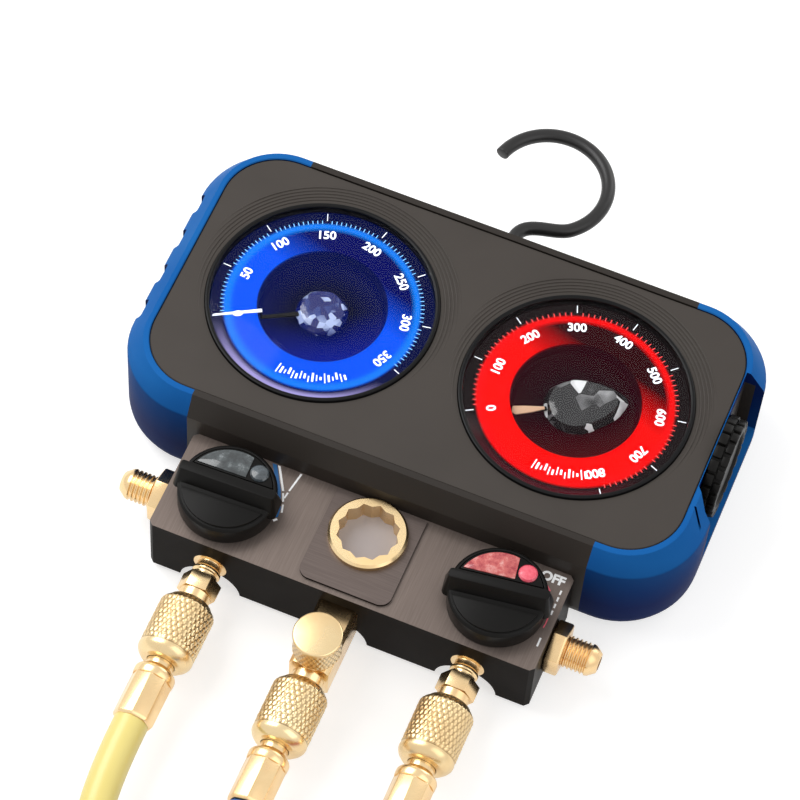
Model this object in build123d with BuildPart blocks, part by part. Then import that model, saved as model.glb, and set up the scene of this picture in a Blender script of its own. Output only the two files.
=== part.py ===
"""Refrigerant manifold gauge set: two lit gauges in a cased head on a two valve manifold with three hoses.

Millimetres. +Z is the way the dials face, +Y points to the hook, and the head lies on its back at z = 0.
"""
from math import cos, pi, radians, sin, tan
import os

from build123d import *

os.makedirs("parts", exist_ok=True)

# ---- Driving dimensions -------------------------------------------------------------------------------

# Head
end_margin = 16.7            # from a gauge case to the end of the head
side_margin = 15.7           # from a gauge case to the side of the head
body_corner = 28.0
body_depth = 44.0            # back to front rim
widest_height = 36.0         # the rim slopes in above this
rim_inset_x = 6.1
rim_inset_y = 4.5
rim_corner = 22.0
back_edge_radius = 8.0
split_height = 26.0          # joint between the front cover and the rear housing
bumper_length = 32.0         # each bumper wraps this much of the head
bumper_thickness = 3.5       # over the end walls
bumper_back = 3.0            # over the back
bumper_lip_height = 38.0     # the bumper folds in over the shell above this
wall = 2.5
side_wall = 3.0              # along the sides, between the bumpers
front_wall = 2.0
floor_height = 5.5           # inside of the back wall
seam_gap = 0.25              # round the face plate and the bezels

# Face plate
plate_inset_x = 2.15         # from the rim
plate_inset_y = 2.5
plate_corner = 20.0
plate_seat = 42.0
plate_thickness = 1.6
ridge_pitch = 1.3
ridge_width = 0.6
ridge_height = 0.35
ridge_count = 4
ridge_first_gap = 1.6        # from the gauge opening to the first ridge

# Gauges
case_radius = 40.8
gauge_separation = 11.4      # between the two cases
case_wall = 1.9
case_back = 7.4
case_floor = 1.5
case_gap = 0.2
ledge_height = 29.0
ledge_width = 2.4
ledge_thickness = 2.0
bezel_inset = 0.6            # from the outside of the case
bezel_width = 1.6
bezel_top = 44.6
bezel_chamfer = 0.5
lens_inset = 1.5             # from the outside of the case
lens_thickness = 1.5
light_ring_width = 6.0
light_ring_depth = 3.5
dial_thickness = 1.0
dial_gap = 0.3
zero_angle = 210.0           # needle direction at zero, counter-clockwise from +X
needle_reach_gap = 5.4       # from the needle tip to the case wall
needle_tail = 11.0
needle_width = 2.4
needle_tip_width = 0.6
needle_thickness = 0.8
needle_lift = 2.2            # above the dial
low_hub_radius = 10.0
high_hub_radius = 13.5
hub_depth = 1.6              # above the underside of the needle
hub_sink = 0.4               # and below it
arbor_radius = 1.0
running_gap = 0.05           # radial, on every shaft that turns in a hole

# Gauge movement
gear_module = 0.4
pinion_teeth = 10
sector_teeth_full = 88       # teeth that the sector would have as a whole wheel
sector_teeth_before = 9      # the sector swings against the needle, so its teeth lie to one side
sector_teeth_after = 2
sector_hub_radius = 2.6
sector_foot = 1.5            # half the width of the sector where it meets its arbor
pinion_thickness = 2.4
sector_thickness = 1.0
movement_plate = 1.0
movement_lower = 24.0        # underside of the lower plate
gear_lift = 3.5              # from there to the middle of both gears
movement_overhang = 5.0      # of the plates past the arbors
pillar_setback = 1.9         # from the sector arbor
movement_width = 13.0
pillar_radius = 1.5
bourdon_inset = 10.9         # from the case wall to the inside of the tube
bourdon_width = 5.0
bourdon_thickness = 2.0
bourdon_height = 16.5
bourdon_start = -82.0
bourdon_sweep = 250.0
socket_height = 16.0
socket_width = 12.0
socket_start = 2.0           # beyond the sector arbor
socket_end_gap = 1.0         # from the ledge
socket_stem_sink = 4.0
socket_stem_radius = 6.5
socket_spigot_radius = 5.0
socket_spigot_depth = 5.5

# Selector knob on the right-hand end
knob_y = 2.0
knob_height = 30.0
selector_radius = 17.9
selector_inset = 1.2         # from the end of the head
selector_depth = 6.2
selector_root_radius = 16.6
selector_ribs = 22
selector_rib_width = 2.9
selector_gap = 0.3
selector_dish = 1.2
selector_dish_margin = 3.0
selector_shaft_radius = 3.0
recess_below = 25.0          # from the knob axis, towards the hoses
recess_above = 30.0
recess_bottom = 11.0
switch_size = 12.0
switch_corner = 1.0
switch_gap = 0.8             # from the gauge case
switch_socket_depth = 3.0

# Grip slots on the left-hand end
grip_pitch = 15.8
grip_width = 8.1
grip_depth = 1.2
grip_count = 4
grip_bottom = 9.0

# Fastenings and battery door on the back
screw_inset_x = 20.0
screw_inset_y = 18.5
screw_radius = 1.5
screw_head_radius = 2.9
screw_head_depth = 1.7
screw_length = 30.0
screw_end_gap = 1.0
boss_radius = 4.5
clearance_hole_radius = 1.7
access_hole_radius = 3.4
door_inset = 22.5            # from the side of the head to the middle of the door
door_radius = 13.0
door_thickness = 2.0
coin_slot_width = 2.0
cell_radius = 10.0
cell_thickness = 3.2
pocket_wall = 2.0
pocket_spring_gap = 1.0      # over the cells

# Hook
hook_rod = 2.5               # radius
hook_height = 22.0
hook_ring_radius = 21.0
hook_ring_x = 3.3
hook_ring_rise = 35.5        # from the side of the head to the middle of the ring
hook_ring_start = -48.0
hook_ring_sweep = 214.0
hook_stem_length = 8.0
bushing_radius = 3.8
bushing_length = 10.5
clip_radius = 4.8
clip_thickness = 1.5
clip_gap = 0.3

# Manifold block
block_overhang = 22.5        # from a gauge middle to the end of the block
block_depth = 38.5           # from the head towards the hoses
block_bottom = 2.0
block_top = 28.0
block_edge = 1.5
scallop_radius = 11.0
scallop_depth = 5.0
gallery_inset = 20.5         # from the head, as for the next three insets
gallery_height = 15.5
gallery_radius = 2.5
centre_plate_width = 32.6
centre_plate_length = 35.5
centre_plate_rise = 1.0
centre_plate_corner = 4.0
centre_plate_top_gap = 1.0

# Sight glass
sight_inset = 13.7
sight_flange_radius = 13.5
sight_flange_top = 31.5
sight_chamfer = 0.8
sight_body_radius = 12.5
sight_socket_across = 18.6
sight_seat = 18.0
sight_glass_radius = 10.8
sight_glass_top = 24.0
sight_chamber_radius = 9.0

# Valve knobs
valve_offset = 2.0           # further out than the gauge middle
valve_inset = 19.5
valve_base_radius = 16.75
valve_base_gap = 0.4
valve_base_top = 36.0
valve_chamfer = 0.8
valve_bar_sink = 3.0         # of the bar into the base
valve_bar_corner = 2.0
valve_bar_slope = 3.0        # how much shorter the bar is at its top
valve_cap_wall = 1.0         # of the knob over its stem
valve_bar_length = 36.8
valve_bar_low_width = 9.0
valve_bar_top_width = 3.4
valve_bar_top = 41.6
valve_pad_radius = 15.3
valve_pad_rise = 0.8
valve_groove = 0.9
insert_depth = 1.2
low_valve_turn = 2.0         # resting turn of each knob, degrees
high_valve_turn = 8.5
valve_bore_radius = 5.0
valve_stem_radius = 4.0

# Flare fittings, all quarter inch
flare_radius = 5.55
flare_length = 12.0
flare_bore_radius = 2.5
flare_tip = 2.2
flare_tip_angle = 40
flare_lip = 0.6
flare_hex = 16.0
flare_hex_length = 5.5
spigot_radius = 6.0
spigot_length = 7.0
nipple_height = 15.0
nipple_neck_radius = 4.3
nipple_neck_length = 6.0
nipple_hex = 12.0
nipple_hex_length = 6.0
nipple_ring_radius = 5.0
nipple_ring_start = 2.0      # from the block
nipple_ring_end = 4.0
nipple_ring_slope = 0.5
nipple_thread_gap = 3.5      # from the hexagon to the nut

# Tee with the service port
tee_width = 14.0
tee_height = 15.0
tee_length = 25.0
tee_chamfer = 1.5
boss_top_gap = 0.6           # between the service boss and the inside of the cap
cap_inset = 18.2             # from the front of the block
cap_radius = 8.35
cap_bottom = 22.8
cap_top = 34.0
cap_flange = 0.8
cap_flange_height = 1.6
cap_wall = 1.8
cap_ribs = 28
cap_disc = 1.2
cap_chamfer = 0.5

# Hose ends
nut_radius = 9.75
nut_length = 24.5
nut_shoulder = 2.4
nut_bevel = 1.6
nut_groove = 0.5
nut_rear_band = 5.5
nut_thread_length = 11.0
nut_chamber_radius = 7.6
nut_back_wall = 4.0
tail_radius = 5.0
tail_head_radius = 7.2
ferrule_radius = 7.25
ferrule_length = 23.0
ferrule_collar = 5.0
ferrule_across = 13.2
ferrule_gap = 0.3

# Hoses
hose_radius = 6.0
hose_ply = 13.0              # one layer of the coil
hose_rest = 6.15             # middle of a hose that lies on the ground
coil_x = 73.5
coil_y = -290.0
lane_pitch = 13.5
coil_inner_radius = 60.0

# ---- Derived places -----------------------------------------------------------------------------------

gauge_x = case_radius + gauge_separation / 2
half_length = gauge_x + case_radius + end_margin
half_width = case_radius + side_margin
body_length = 2 * half_length
body_width = 2 * half_width
rim_length = body_length - 2 * rim_inset_x
rim_width = body_width - 2 * rim_inset_y
plate_length = rim_length - 2 * plate_inset_x
plate_width = rim_width - 2 * plate_inset_y
seam_x = half_length - bumper_length
core_length = body_length - 2 * bumper_thickness
core_width = body_width - 2 * (bumper_thickness - 0.25)
core_corner = body_corner - bumper_thickness
dial_bottom = ledge_height + light_ring_depth
dial_top = dial_bottom + dial_thickness
needle_bottom = dial_top + needle_lift
case_inner = case_radius - case_wall
ledge_radius = case_inner - ledge_width
bezel_radius = case_radius - bezel_inset
lens_radius = case_radius - lens_inset
needle_length = case_inner - needle_reach_gap
bourdon_radius = case_inner - bourdon_inset
selector_outer = half_length - selector_inset
selector_inner = selector_outer - selector_depth
recess_floor = selector_inner - selector_gap
recess_low = knob_y - recess_below
recess_high = knob_y + recess_above
screw_x = half_length - screw_inset_x
screw_y = half_width - screw_inset_y
door_y = half_width - door_inset
hook_ring_y = half_width + hook_ring_rise
block_length = 2 * (gauge_x + block_overhang)
opening_radius = bezel_radius + seam_gap
block_front = -half_width
block_end = block_front - block_depth
gallery_y = block_front - gallery_inset
sight_y = block_front - sight_inset
valve_x = gauge_x + valve_offset
valve_y = block_front - valve_inset
cap_y = block_end - cap_inset
pitch_radius = gear_module * pinion_teeth / 2
sector_radius = gear_module * sector_teeth_full / 2
sector_distance = pitch_radius + sector_radius
hook_rear = half_width - bushing_length
pocket_depth = door_thickness + 2 * cell_thickness + pocket_spring_gap
screw_corners = [(across * screw_x, along * screw_y) for across in (-1, 1) for along in (-1, 1)]
screw_places = [*screw_corners, (0, -screw_y)]
sides = (("low", -gauge_x), ("high", gauge_x))


# ---- Shared profiles ----------------------------------------------------------------------------------

def outline(points, plane):
    """A flat face with straight edges on the given plane."""
    with BuildSketch(plane) as face:
        with BuildLine():
            Polyline(*points, close=True)
        make_face()
    return face.sketch


def upright(x, y):
    """The plane in which a turned piece with its axis along Z is drawn: (radius, height)."""
    return Plane(origin=(x, y, 0), x_dir=(1, 0, 0), z_dir=(0, -1, 0))


def gear_points(teeth, first, last, radius, turn):
    """Outline points of teeth first..last of a wheel, with a tooth middle at the angle turn."""
    step = 360 / teeth
    tip = radius + 0.75 * gear_module
    root = radius - 1.05 * gear_module
    flanks = [(root, -0.31), (radius, -0.22), (tip, -0.11), (tip, 0.11), (radius, 0.22), (root, 0.31)]
    points = []
    for index in range(first, last + 1):
        middle = turn + index * step
        for reach, share in flanks:
            angle = radians(middle + share * step)
            points.append((reach * cos(angle), reach * sin(angle)))
    return points


# ---- Head: shell and bumpers --------------------------------------------------------------------------

with BuildPart() as envelope:
    with BuildSketch():
        RectangleRounded(body_length, body_width, body_corner)
    extrude(amount=widest_height)
    fillet(envelope.edges().group_by(Axis.Z)[0], back_edge_radius)
    with BuildSketch(Plane.XY.offset(widest_height)):
        RectangleRounded(body_length, body_width, body_corner)
    with BuildSketch(Plane.XY.offset(body_depth)):
        RectangleRounded(rim_length, rim_width, rim_corner)
    loft(ruled=True)

with BuildPart() as core:
    with BuildSketch(Plane.XY.offset(bumper_back)):
        RectangleRounded(core_length, core_width, core_corner)
    extrude(amount=bumper_lip_height - bumper_back)
    with BuildSketch(Plane.XY.offset(bumper_lip_height)):
        RectangleRounded(plate_length, plate_width, plate_corner)
    extrude(amount=plate_seat - bumper_lip_height)

with BuildPart() as plate_recess:
    with BuildSketch(Plane.XY.offset(plate_seat)):
        RectangleRounded(plate_length + 2 * seam_gap, plate_width + 2 * seam_gap, plate_corner + seam_gap)
    extrude(amount=body_depth)

recess_middle = (recess_low + recess_high) / 2
recess_span = recess_high - recess_low
with BuildPart() as knob_recess:
    with BuildSketch(Plane.XY.offset(recess_bottom)):
        with Locations((recess_floor, recess_middle)):
            Rectangle(body_length, recess_span, align=(Align.MIN, Align.CENTER))
    extrude(amount=body_depth)

cavity_top = plate_seat - front_wall
shoulder = bumper_lip_height - front_wall
with BuildPart() as recess_walls:
    with BuildSketch(Plane.XY.offset(floor_height)):
        with Locations((recess_floor - wall, recess_middle)):
            Rectangle(body_length, recess_span + 2 * wall, align=(Align.MIN, Align.CENTER))
    extrude(amount=shoulder - floor_height)
    add(core.part, mode=Mode.INTERSECT)

with BuildPart() as shell:
    add(envelope.part)
    with BuildSketch():
        Rectangle(2 * seam_x, 2 * body_width)
    extrude(amount=body_depth, mode=Mode.INTERSECT)
    add(core.part)
    add(plate_recess.part, mode=Mode.SUBTRACT)
    # the hollow: wide under the shoulder, narrower under the plate
    with BuildSketch(Plane.XY.offset(floor_height)):
        RectangleRounded(core_length - 2 * wall, core_width - 2 * wall, core_corner - wall)
        Rectangle(2 * (seam_x - wall), body_width - 2 * side_wall)
    extrude(amount=shoulder - floor_height, mode=Mode.SUBTRACT)
    with BuildSketch(Plane.XY.offset(shoulder)):
        RectangleRounded(plate_length - 2 * wall, plate_width - 2 * wall, plate_corner - wall)
    extrude(amount=cavity_top - shoulder, mode=Mode.SUBTRACT)
    add(recess_walls.part)
    add(knob_recess.part, mode=Mode.SUBTRACT)
    with Locations(Location((recess_floor - wall, knob_y, knob_height), (0, 90, 0))):
        Cylinder(selector_shaft_radius + running_gap, 4 * wall, mode=Mode.SUBTRACT)
    # gauge openings
    with BuildSketch(Plane.XY.offset(shoulder)):
        with Locations((-gauge_x, 0), (gauge_x, 0)):
            Circle(case_radius + case_gap)
    extrude(amount=plate_seat - shoulder, mode=Mode.SUBTRACT)
    # screw bosses
    with BuildSketch(Plane.XY.offset(floor_height)):
        with Locations(*screw_places):
            Circle(boss_radius)
    extrude(amount=cavity_top - floor_height)
    # battery pocket
    with BuildSketch(Plane.XY.offset(floor_height)):
        with Locations((0, door_y)):
            Circle(door_radius + seam_gap + pocket_wall)
    extrude(amount=pocket_depth + pocket_wall - floor_height)
    with BuildSketch():
        with Locations((0, door_y)):
            Circle(door_radius + seam_gap)
    extrude(amount=pocket_depth, mode=Mode.SUBTRACT)
    # hook boss and hole
    with BuildSketch(Plane.XZ.offset(-hook_rear)):
        with Locations((0, hook_height)):
            Circle(bushing_radius + wall)
    extrude(amount=-(half_width - hook_rear - wall / 2))
    with BuildSketch(Plane.XZ.offset(-hook_rear)):
        with Locations((0, hook_height)):
            Circle(bushing_radius)
    extrude(amount=-2 * bushing_length, mode=Mode.SUBTRACT)
    # gauge socket holes in the wall that meets the block
    with BuildSketch(Plane.XZ.offset(half_width - 2 * wall)):
        with Locations((-gauge_x, socket_height), (gauge_x, socket_height)):
            Circle(socket_stem_radius)
    extrude(amount=3 * wall, mode=Mode.SUBTRACT)

with BuildPart() as rear_housing:
    add(shell.part)
    split(bisect_by=Plane.XY.offset(split_height), keep=Keep.BOTTOM)
    with BuildSketch():
        with Locations(*screw_places):
            Circle(screw_head_radius + seam_gap)
    extrude(amount=bumper_back, mode=Mode.SUBTRACT)
    with Locations(*[(x, y, bumper_back) for x, y in screw_places]):
        Cone(screw_head_radius, screw_radius, screw_head_depth,
             align=(Align.CENTER, Align.CENTER, Align.MIN), mode=Mode.SUBTRACT)
    with BuildSketch():
        with Locations(*screw_places):
            Circle(clearance_hole_radius)
    extrude(amount=split_height, mode=Mode.SUBTRACT)
rear_housing.part.label = "rear_housing"
export_step(rear_housing.part, "parts/rear_housing.step")

with BuildPart() as front_cover:
    add(shell.part)
    split(bisect_by=Plane.XY.offset(split_height), keep=Keep.TOP)
    with BuildSketch(Plane.XY.offset(split_height)):
        with Locations(*screw_places):
            Circle(screw_radius)
    extrude(amount=bumper_back + screw_length - split_height + screw_end_gap, mode=Mode.SUBTRACT)
front_cover.part.label = "front_cover"
export_step(front_cover.part, "parts/front_cover.step")

with BuildPart() as left_bumper:
    add(envelope.part)
    split(bisect_by=Plane.YZ.offset(-seam_x), keep=Keep.BOTTOM)
    add(core.part, mode=Mode.SUBTRACT)
    add(plate_recess.part, mode=Mode.SUBTRACT)
    # grip slots down the end
    with BuildSketch(Plane.XY.offset(grip_bottom)):
        with GridLocations(1, grip_pitch, 1, grip_count):
            with Locations((-body_length / 2 + grip_depth, 0)):
                Rectangle(body_length, grip_width, align=(Align.MAX, Align.CENTER))
    extrude(amount=body_depth, mode=Mode.SUBTRACT)
    # screwdriver holes in the back
    with BuildSketch():
        with Locations((-screw_x, screw_y), (-screw_x, -screw_y)):
            Circle(access_hole_radius)
    extrude(amount=bumper_back, mode=Mode.SUBTRACT)
left_bumper.part.label = "left_bumper"
export_step(left_bumper.part, "parts/left_bumper.step")

with BuildPart() as right_bumper:
    add(envelope.part)
    split(bisect_by=Plane.YZ.offset(seam_x), keep=Keep.TOP)
    add(core.part, mode=Mode.SUBTRACT)
    add(plate_recess.part, mode=Mode.SUBTRACT)
    add(knob_recess.part, mode=Mode.SUBTRACT)
    with BuildSketch():
        with Locations((screw_x, screw_y), (screw_x, -screw_y)):
            Circle(access_hole_radius)
    extrude(amount=bumper_back, mode=Mode.SUBTRACT)
right_bumper.part.label = "right_bumper"
export_step(right_bumper.part, "parts/right_bumper.step")

with BuildPart() as face_plate:
    with BuildSketch(Plane.XY.offset(plate_seat)):
        RectangleRounded(plate_length, plate_width, plate_corner)
        with Locations((-gauge_x, 0), (gauge_x, 0)):
            Circle(opening_radius, mode=Mode.SUBTRACT)
    extrude(amount=plate_thickness)
    # moulded ridges over the upper half of each dial
    with BuildSketch(Plane.XY.offset(plate_seat + plate_thickness)):
        for ridge in range(ridge_count):
            ridge_inner = opening_radius + ridge_first_gap + ridge * ridge_pitch
            with Locations((-gauge_x, 0), (gauge_x, 0)):
                Circle(ridge_inner + ridge_width)
                Circle(ridge_inner, mode=Mode.SUBTRACT)
        with Locations((0, body_width)):
            Rectangle(body_length, 2 * body_width, mode=Mode.INTERSECT)
    extrude(amount=ridge_height)
face_plate.part.label = "face_plate"
export_step(face_plate.part, "parts/face_plate.step")

with BuildPart() as housing_screws:
    for x, y in screw_places:
        screw_points = [
            (0, bumper_back),
            (screw_head_radius, bumper_back),
            (screw_radius, bumper_back + screw_head_depth),
            (screw_radius, bumper_back + screw_length),
            (0, bumper_back + screw_length),
        ]
        revolve(outline(screw_points, upright(x, y)), axis=Axis((x, y, 0), (0, 0, 1)))
housing_screws.part.label = "housing_screws"
export_step(housing_screws.part, "parts/housing_screws.step")

with BuildPart() as battery_cover:
    with BuildSketch():
        with Locations((0, door_y)):
            Circle(door_radius)
    extrude(amount=door_thickness)
    with BuildSketch():
        with Locations((0, door_y)):
            SlotOverall(1.3 * door_radius, coin_slot_width)
    extrude(amount=door_thickness / 2, mode=Mode.SUBTRACT)
battery_cover.part.label = "battery_cover"
export_step(battery_cover.part, "parts/battery_cover.step")

with BuildPart() as coin_cells:
    for layer in range(2):
        with BuildSketch(Plane.XY.offset(door_thickness + seam_gap + layer * (cell_thickness + seam_gap))):
            with Locations((0, door_y)):
                Circle(cell_radius)
        extrude(amount=cell_thickness)
coin_cells.part.label = "coin_cells"
export_step(coin_cells.part, "parts/coin_cells.step")

# ---- Selector knob and its switch ---------------------------------------------------------------------

with BuildPart() as selector_knob:
    with BuildSketch(Plane(origin=(selector_inner, knob_y, knob_height), x_dir=(0, 1, 0), z_dir=(1, 0, 0))):
        Circle(selector_root_radius)
        with PolarLocations(0, selector_ribs):
            Rectangle(selector_radius, selector_rib_width, align=(Align.MIN, Align.CENTER))
        Circle(selector_radius, mode=Mode.INTERSECT)
    extrude(amount=selector_depth)
    # dish in the outer face
    with BuildSketch(Plane(origin=(selector_outer, knob_y, knob_height), x_dir=(0, 1, 0), z_dir=(1, 0, 0))):
        Circle(selector_root_radius - selector_dish_margin)
    extrude(amount=-selector_dish, mode=Mode.SUBTRACT)
    with Locations(Location((recess_floor - 2 * wall, knob_y, knob_height), (0, 90, 0))):
        Cylinder(selector_shaft_radius, selector_gap + 2 * wall,
                 align=(Align.CENTER, Align.CENTER, Align.MIN))
selector_knob.part.label = "selector_knob"
export_step(selector_knob.part, "parts/selector_knob.step")

switch_back = gauge_x + case_radius + switch_gap
switch_front = recess_floor - wall
with BuildPart() as selector_switch:
    with BuildSketch(Plane(origin=(switch_back, knob_y, knob_height), x_dir=(0, 1, 0), z_dir=(1, 0, 0))):
        RectangleRounded(switch_size, switch_size, switch_corner)
    extrude(amount=switch_front - switch_back)
    with BuildSketch(Plane(origin=(switch_front, knob_y, knob_height), x_dir=(0, 1, 0), z_dir=(1, 0, 0))):
        Circle(selector_shaft_radius + running_gap)
    extrude(amount=-switch_socket_depth, mode=Mode.SUBTRACT)
selector_switch.part.label = "selector_switch"
export_step(selector_switch.part, "parts/selector_switch.step")

# ---- Hook ---------------------------------------------------------------------------------------------

with BuildPart() as hook:
    with BuildLine(Plane.XY.offset(hook_height)):
        stem = Line((0, hook_rear - 2 * clip_thickness), (0, half_width + hook_stem_length))
        ring = CenterArc((hook_ring_x, hook_ring_y), hook_ring_radius, hook_ring_start, hook_ring_sweep)
        Spline(stem @ 1, ring @ 0, tangents=(stem % 1, ring % 0))
    with BuildSketch(Plane(origin=stem @ 0, z_dir=stem % 0)):
        Circle(hook_rod)
    sweep()
hook.part.label = "hook"
export_step(hook.part, "parts/hook.step")

with BuildPart() as hook_bushing:
    with BuildSketch(Plane.XZ.offset(-hook_rear)):
        with Locations((0, hook_height)):
            Circle(bushing_radius)
            Circle(hook_rod + running_gap, mode=Mode.SUBTRACT)
    extrude(amount=-bushing_length)
hook_bushing.part.label = "hook_bushing"
export_step(hook_bushing.part, "parts/hook_bushing.step")

with BuildPart() as hook_clip:
    with BuildSketch(Plane.XZ.offset(-(hook_rear - clip_gap))):
        with Locations((0, hook_height)):
            Circle(clip_radius)
            Circle(hook_rod, mode=Mode.SUBTRACT)
    extrude(amount=clip_thickness)
hook_clip.part.label = "hook_clip"
export_step(hook_clip.part, "parts/hook_clip.step")

# ---- Gauges -------------------------------------------------------------------------------------------

hub_radii = {"low": low_hub_radius, "high": high_hub_radius}
gear_middle = movement_lower + gear_lift
movement_upper = 2 * gear_middle - movement_lower

for side, x in sides:
    centre = Axis((x, 0, 0), (0, 0, 1))

    with BuildPart() as gauge_case:
        case_points = [
            (0, case_back),
            (case_radius, case_back),
            (case_radius, plate_seat),
            (case_inner, plate_seat),
            (case_inner, ledge_height),
            (ledge_radius, ledge_height),
            (ledge_radius, ledge_height - ledge_thickness),
            (case_inner, ledge_height - 2 * ledge_thickness),
            (case_inner, case_back + case_floor),
            (0, case_back + case_floor),
        ]
        revolve(outline(case_points, upright(x, 0)), axis=centre)
        with BuildSketch(Plane.XZ.offset(ledge_radius)):
            with Locations((x, socket_height)):
                Circle(socket_stem_radius)
        extrude(amount=2 * (case_radius - ledge_radius), mode=Mode.SUBTRACT)
    gauge_case.part.label = f"{side}_gauge_case"
    export_step(gauge_case.part, f"parts/{side}_gauge_case.step")

    with BuildPart() as bezel_ring:
        lens_top = plate_seat + lens_thickness
        bezel_points = [
            (lens_radius, plate_seat),
            (bezel_radius, plate_seat),
            (bezel_radius, bezel_top - bezel_chamfer),
            (bezel_radius - bezel_chamfer, bezel_top),
            (bezel_radius - bezel_width + bezel_chamfer, bezel_top),
            (bezel_radius - bezel_width, bezel_top - bezel_chamfer),
            (bezel_radius - bezel_width, lens_top),
            (lens_radius, lens_top),
        ]
        revolve(outline(bezel_points, upright(x, 0)), axis=centre)
    bezel_ring.part.label = f"{side}_bezel_ring"
    export_step(bezel_ring.part, f"parts/{side}_bezel_ring.step")

    with BuildPart() as lens:
        with BuildSketch(Plane(origin=(x, 0, plate_seat))):
            Circle(lens_radius)
        extrude(amount=lens_thickness)
    lens.part.label = f"{side}_lens"
    export_step(lens.part, f"parts/{side}_lens.step")

    with BuildPart() as light_ring:
        with BuildSketch(Plane(origin=(x, 0, ledge_height))):
            Circle(case_inner)
            Circle(case_inner - light_ring_width, mode=Mode.SUBTRACT)
        extrude(amount=light_ring_depth)
    light_ring.part.label = f"{side}_light_ring"
    export_step(light_ring.part, f"parts/{side}_light_ring.step")

    with BuildPart() as dial:
        with BuildSketch(Plane(origin=(x, 0, dial_bottom))):
            Circle(case_inner - dial_gap)
            Circle(arbor_radius + dial_gap, mode=Mode.SUBTRACT)
        extrude(amount=dial_thickness)
    dial.part.label = f"{side}_dial"
    export_step(dial.part, f"parts/{side}_dial.step")

    # pointer, hub, arbor and pinion turn as one
    hub_radius = hub_radii[side]
    with BuildPart() as needle:
        pointer_plane = Plane(origin=(x, 0, needle_bottom)).rotated((0, 0, zero_angle))
        pointer = [
            (needle_length, -needle_tip_width / 2),
            (needle_length, needle_tip_width / 2),
            (0, needle_width / 2),
            (-needle_tail, needle_width),
            (-needle_tail, -needle_width),
            (0, -needle_width / 2),
        ]
        extrude(outline(pointer, pointer_plane), amount=needle_thickness)
        with BuildSketch(Plane(origin=(x, 0, needle_bottom - hub_sink))):
            Circle(hub_radius)
        extrude(amount=hub_depth + hub_sink)
        with BuildSketch(Plane(origin=(x, 0, movement_lower))):
            Circle(arbor_radius)
        extrude(amount=needle_bottom - movement_lower)
        pinion = gear_points(pinion_teeth, 0, pinion_teeth - 1, pitch_radius, -90)
        pinion_plane = Plane(origin=(x, 0, gear_middle - pinion_thickness / 2))
        extrude(outline(pinion, pinion_plane), amount=pinion_thickness)
    needle.part.label = f"{side}_needle"
    export_step(needle.part, f"parts/{side}_needle.step")

    with BuildPart() as sector_gear:
        sector_plane = Plane(origin=(x, -sector_distance, gear_middle - sector_thickness / 2))
        half_step = 180 / sector_teeth_full
        rim = gear_points(sector_teeth_full, -sector_teeth_before, sector_teeth_after, sector_radius,
                          90 + half_step)
        extrude(outline([(sector_foot, 0), *rim, (-sector_foot, 0)], sector_plane), amount=sector_thickness)
        # tail for the link to the tube
        with BuildSketch(sector_plane):
            Circle(sector_hub_radius)
        extrude(amount=sector_thickness)
        with BuildSketch(Plane(origin=(x, -sector_distance, movement_lower))):
            Circle(arbor_radius)
        extrude(amount=movement_upper - movement_lower)
    sector_gear.part.label = f"{side}_sector_gear"
    export_step(sector_gear.part, f"parts/{side}_sector_gear.step")

    with BuildPart() as movement:
        plate_low = -sector_distance - movement_overhang
        plate_high = movement_overhang
        pillar_x = movement_width / 2 - pillar_radius
        pillar_y = -sector_distance - pillar_setback
        for plate_height in (movement_lower, movement_upper - movement_plate):
            with BuildSketch(Plane(origin=(x, (plate_low + plate_high) / 2, plate_height))):
                SlotOverall(plate_high - plate_low, movement_width, rotation=90)
            extrude(amount=movement_plate)
        with BuildSketch(Plane(origin=(x, 0, movement_lower))):
            with Locations((-pillar_x, pillar_y), (pillar_x, pillar_y)):
                Circle(pillar_radius)
        extrude(amount=movement_upper - movement_lower)
        with BuildSketch(Plane(origin=(x, 0, movement_lower))):
            with Locations((0, 0), (0, -sector_distance)):
                Circle(arbor_radius + running_gap)
        extrude(amount=movement_upper - movement_lower, mode=Mode.SUBTRACT)
    movement.part.label = f"{side}_movement"
    export_step(movement.part, f"parts/{side}_movement.step")

    with BuildPart() as gauge_socket:
        socket_inner = -sector_distance - socket_start
        with BuildSketch(Plane(origin=(x, 0, case_back + case_floor))):
            with Locations((0, socket_inner)):
                Rectangle(socket_width, ledge_radius + socket_inner - socket_end_gap,
                          align=(Align.CENTER, Align.MAX))
        extrude(amount=movement_lower - case_back - case_floor)
        with BuildSketch(Plane.XZ.offset(ledge_radius - socket_stem_sink)):
            with Locations((x, socket_height)):
                Circle(socket_stem_radius)
        extrude(amount=half_width - ledge_radius + socket_stem_sink)
        with BuildSketch(Plane.XZ.offset(half_width)):
            with Locations((x, socket_height)):
                Circle(socket_spigot_radius)
        extrude(amount=socket_spigot_depth)
    gauge_socket.part.label = f"{side}_gauge_socket"
    export_step(gauge_socket.part, f"parts/{side}_gauge_socket.step")

    with BuildPart() as bourdon_tube:
        with BuildSketch(Plane(origin=(x, 0, bourdon_height - bourdon_width / 2))):
            with BuildLine():
                inner = CenterArc((0, 0), bourdon_radius, bourdon_start, bourdon_sweep)
                outer = CenterArc((0, 0), bourdon_radius + bourdon_thickness, bourdon_start, bourdon_sweep)
                Line(inner @ 0, outer @ 0)
                Line(inner @ 1, outer @ 1)
            make_face()
        extrude(amount=bourdon_width)
    bourdon_tube.part.label = f"{side}_bourdon_tube"
    export_step(bourdon_tube.part, f"parts/{side}_bourdon_tube.step")

# ---- Manifold block -----------------------------------------------------------------------------------

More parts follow.
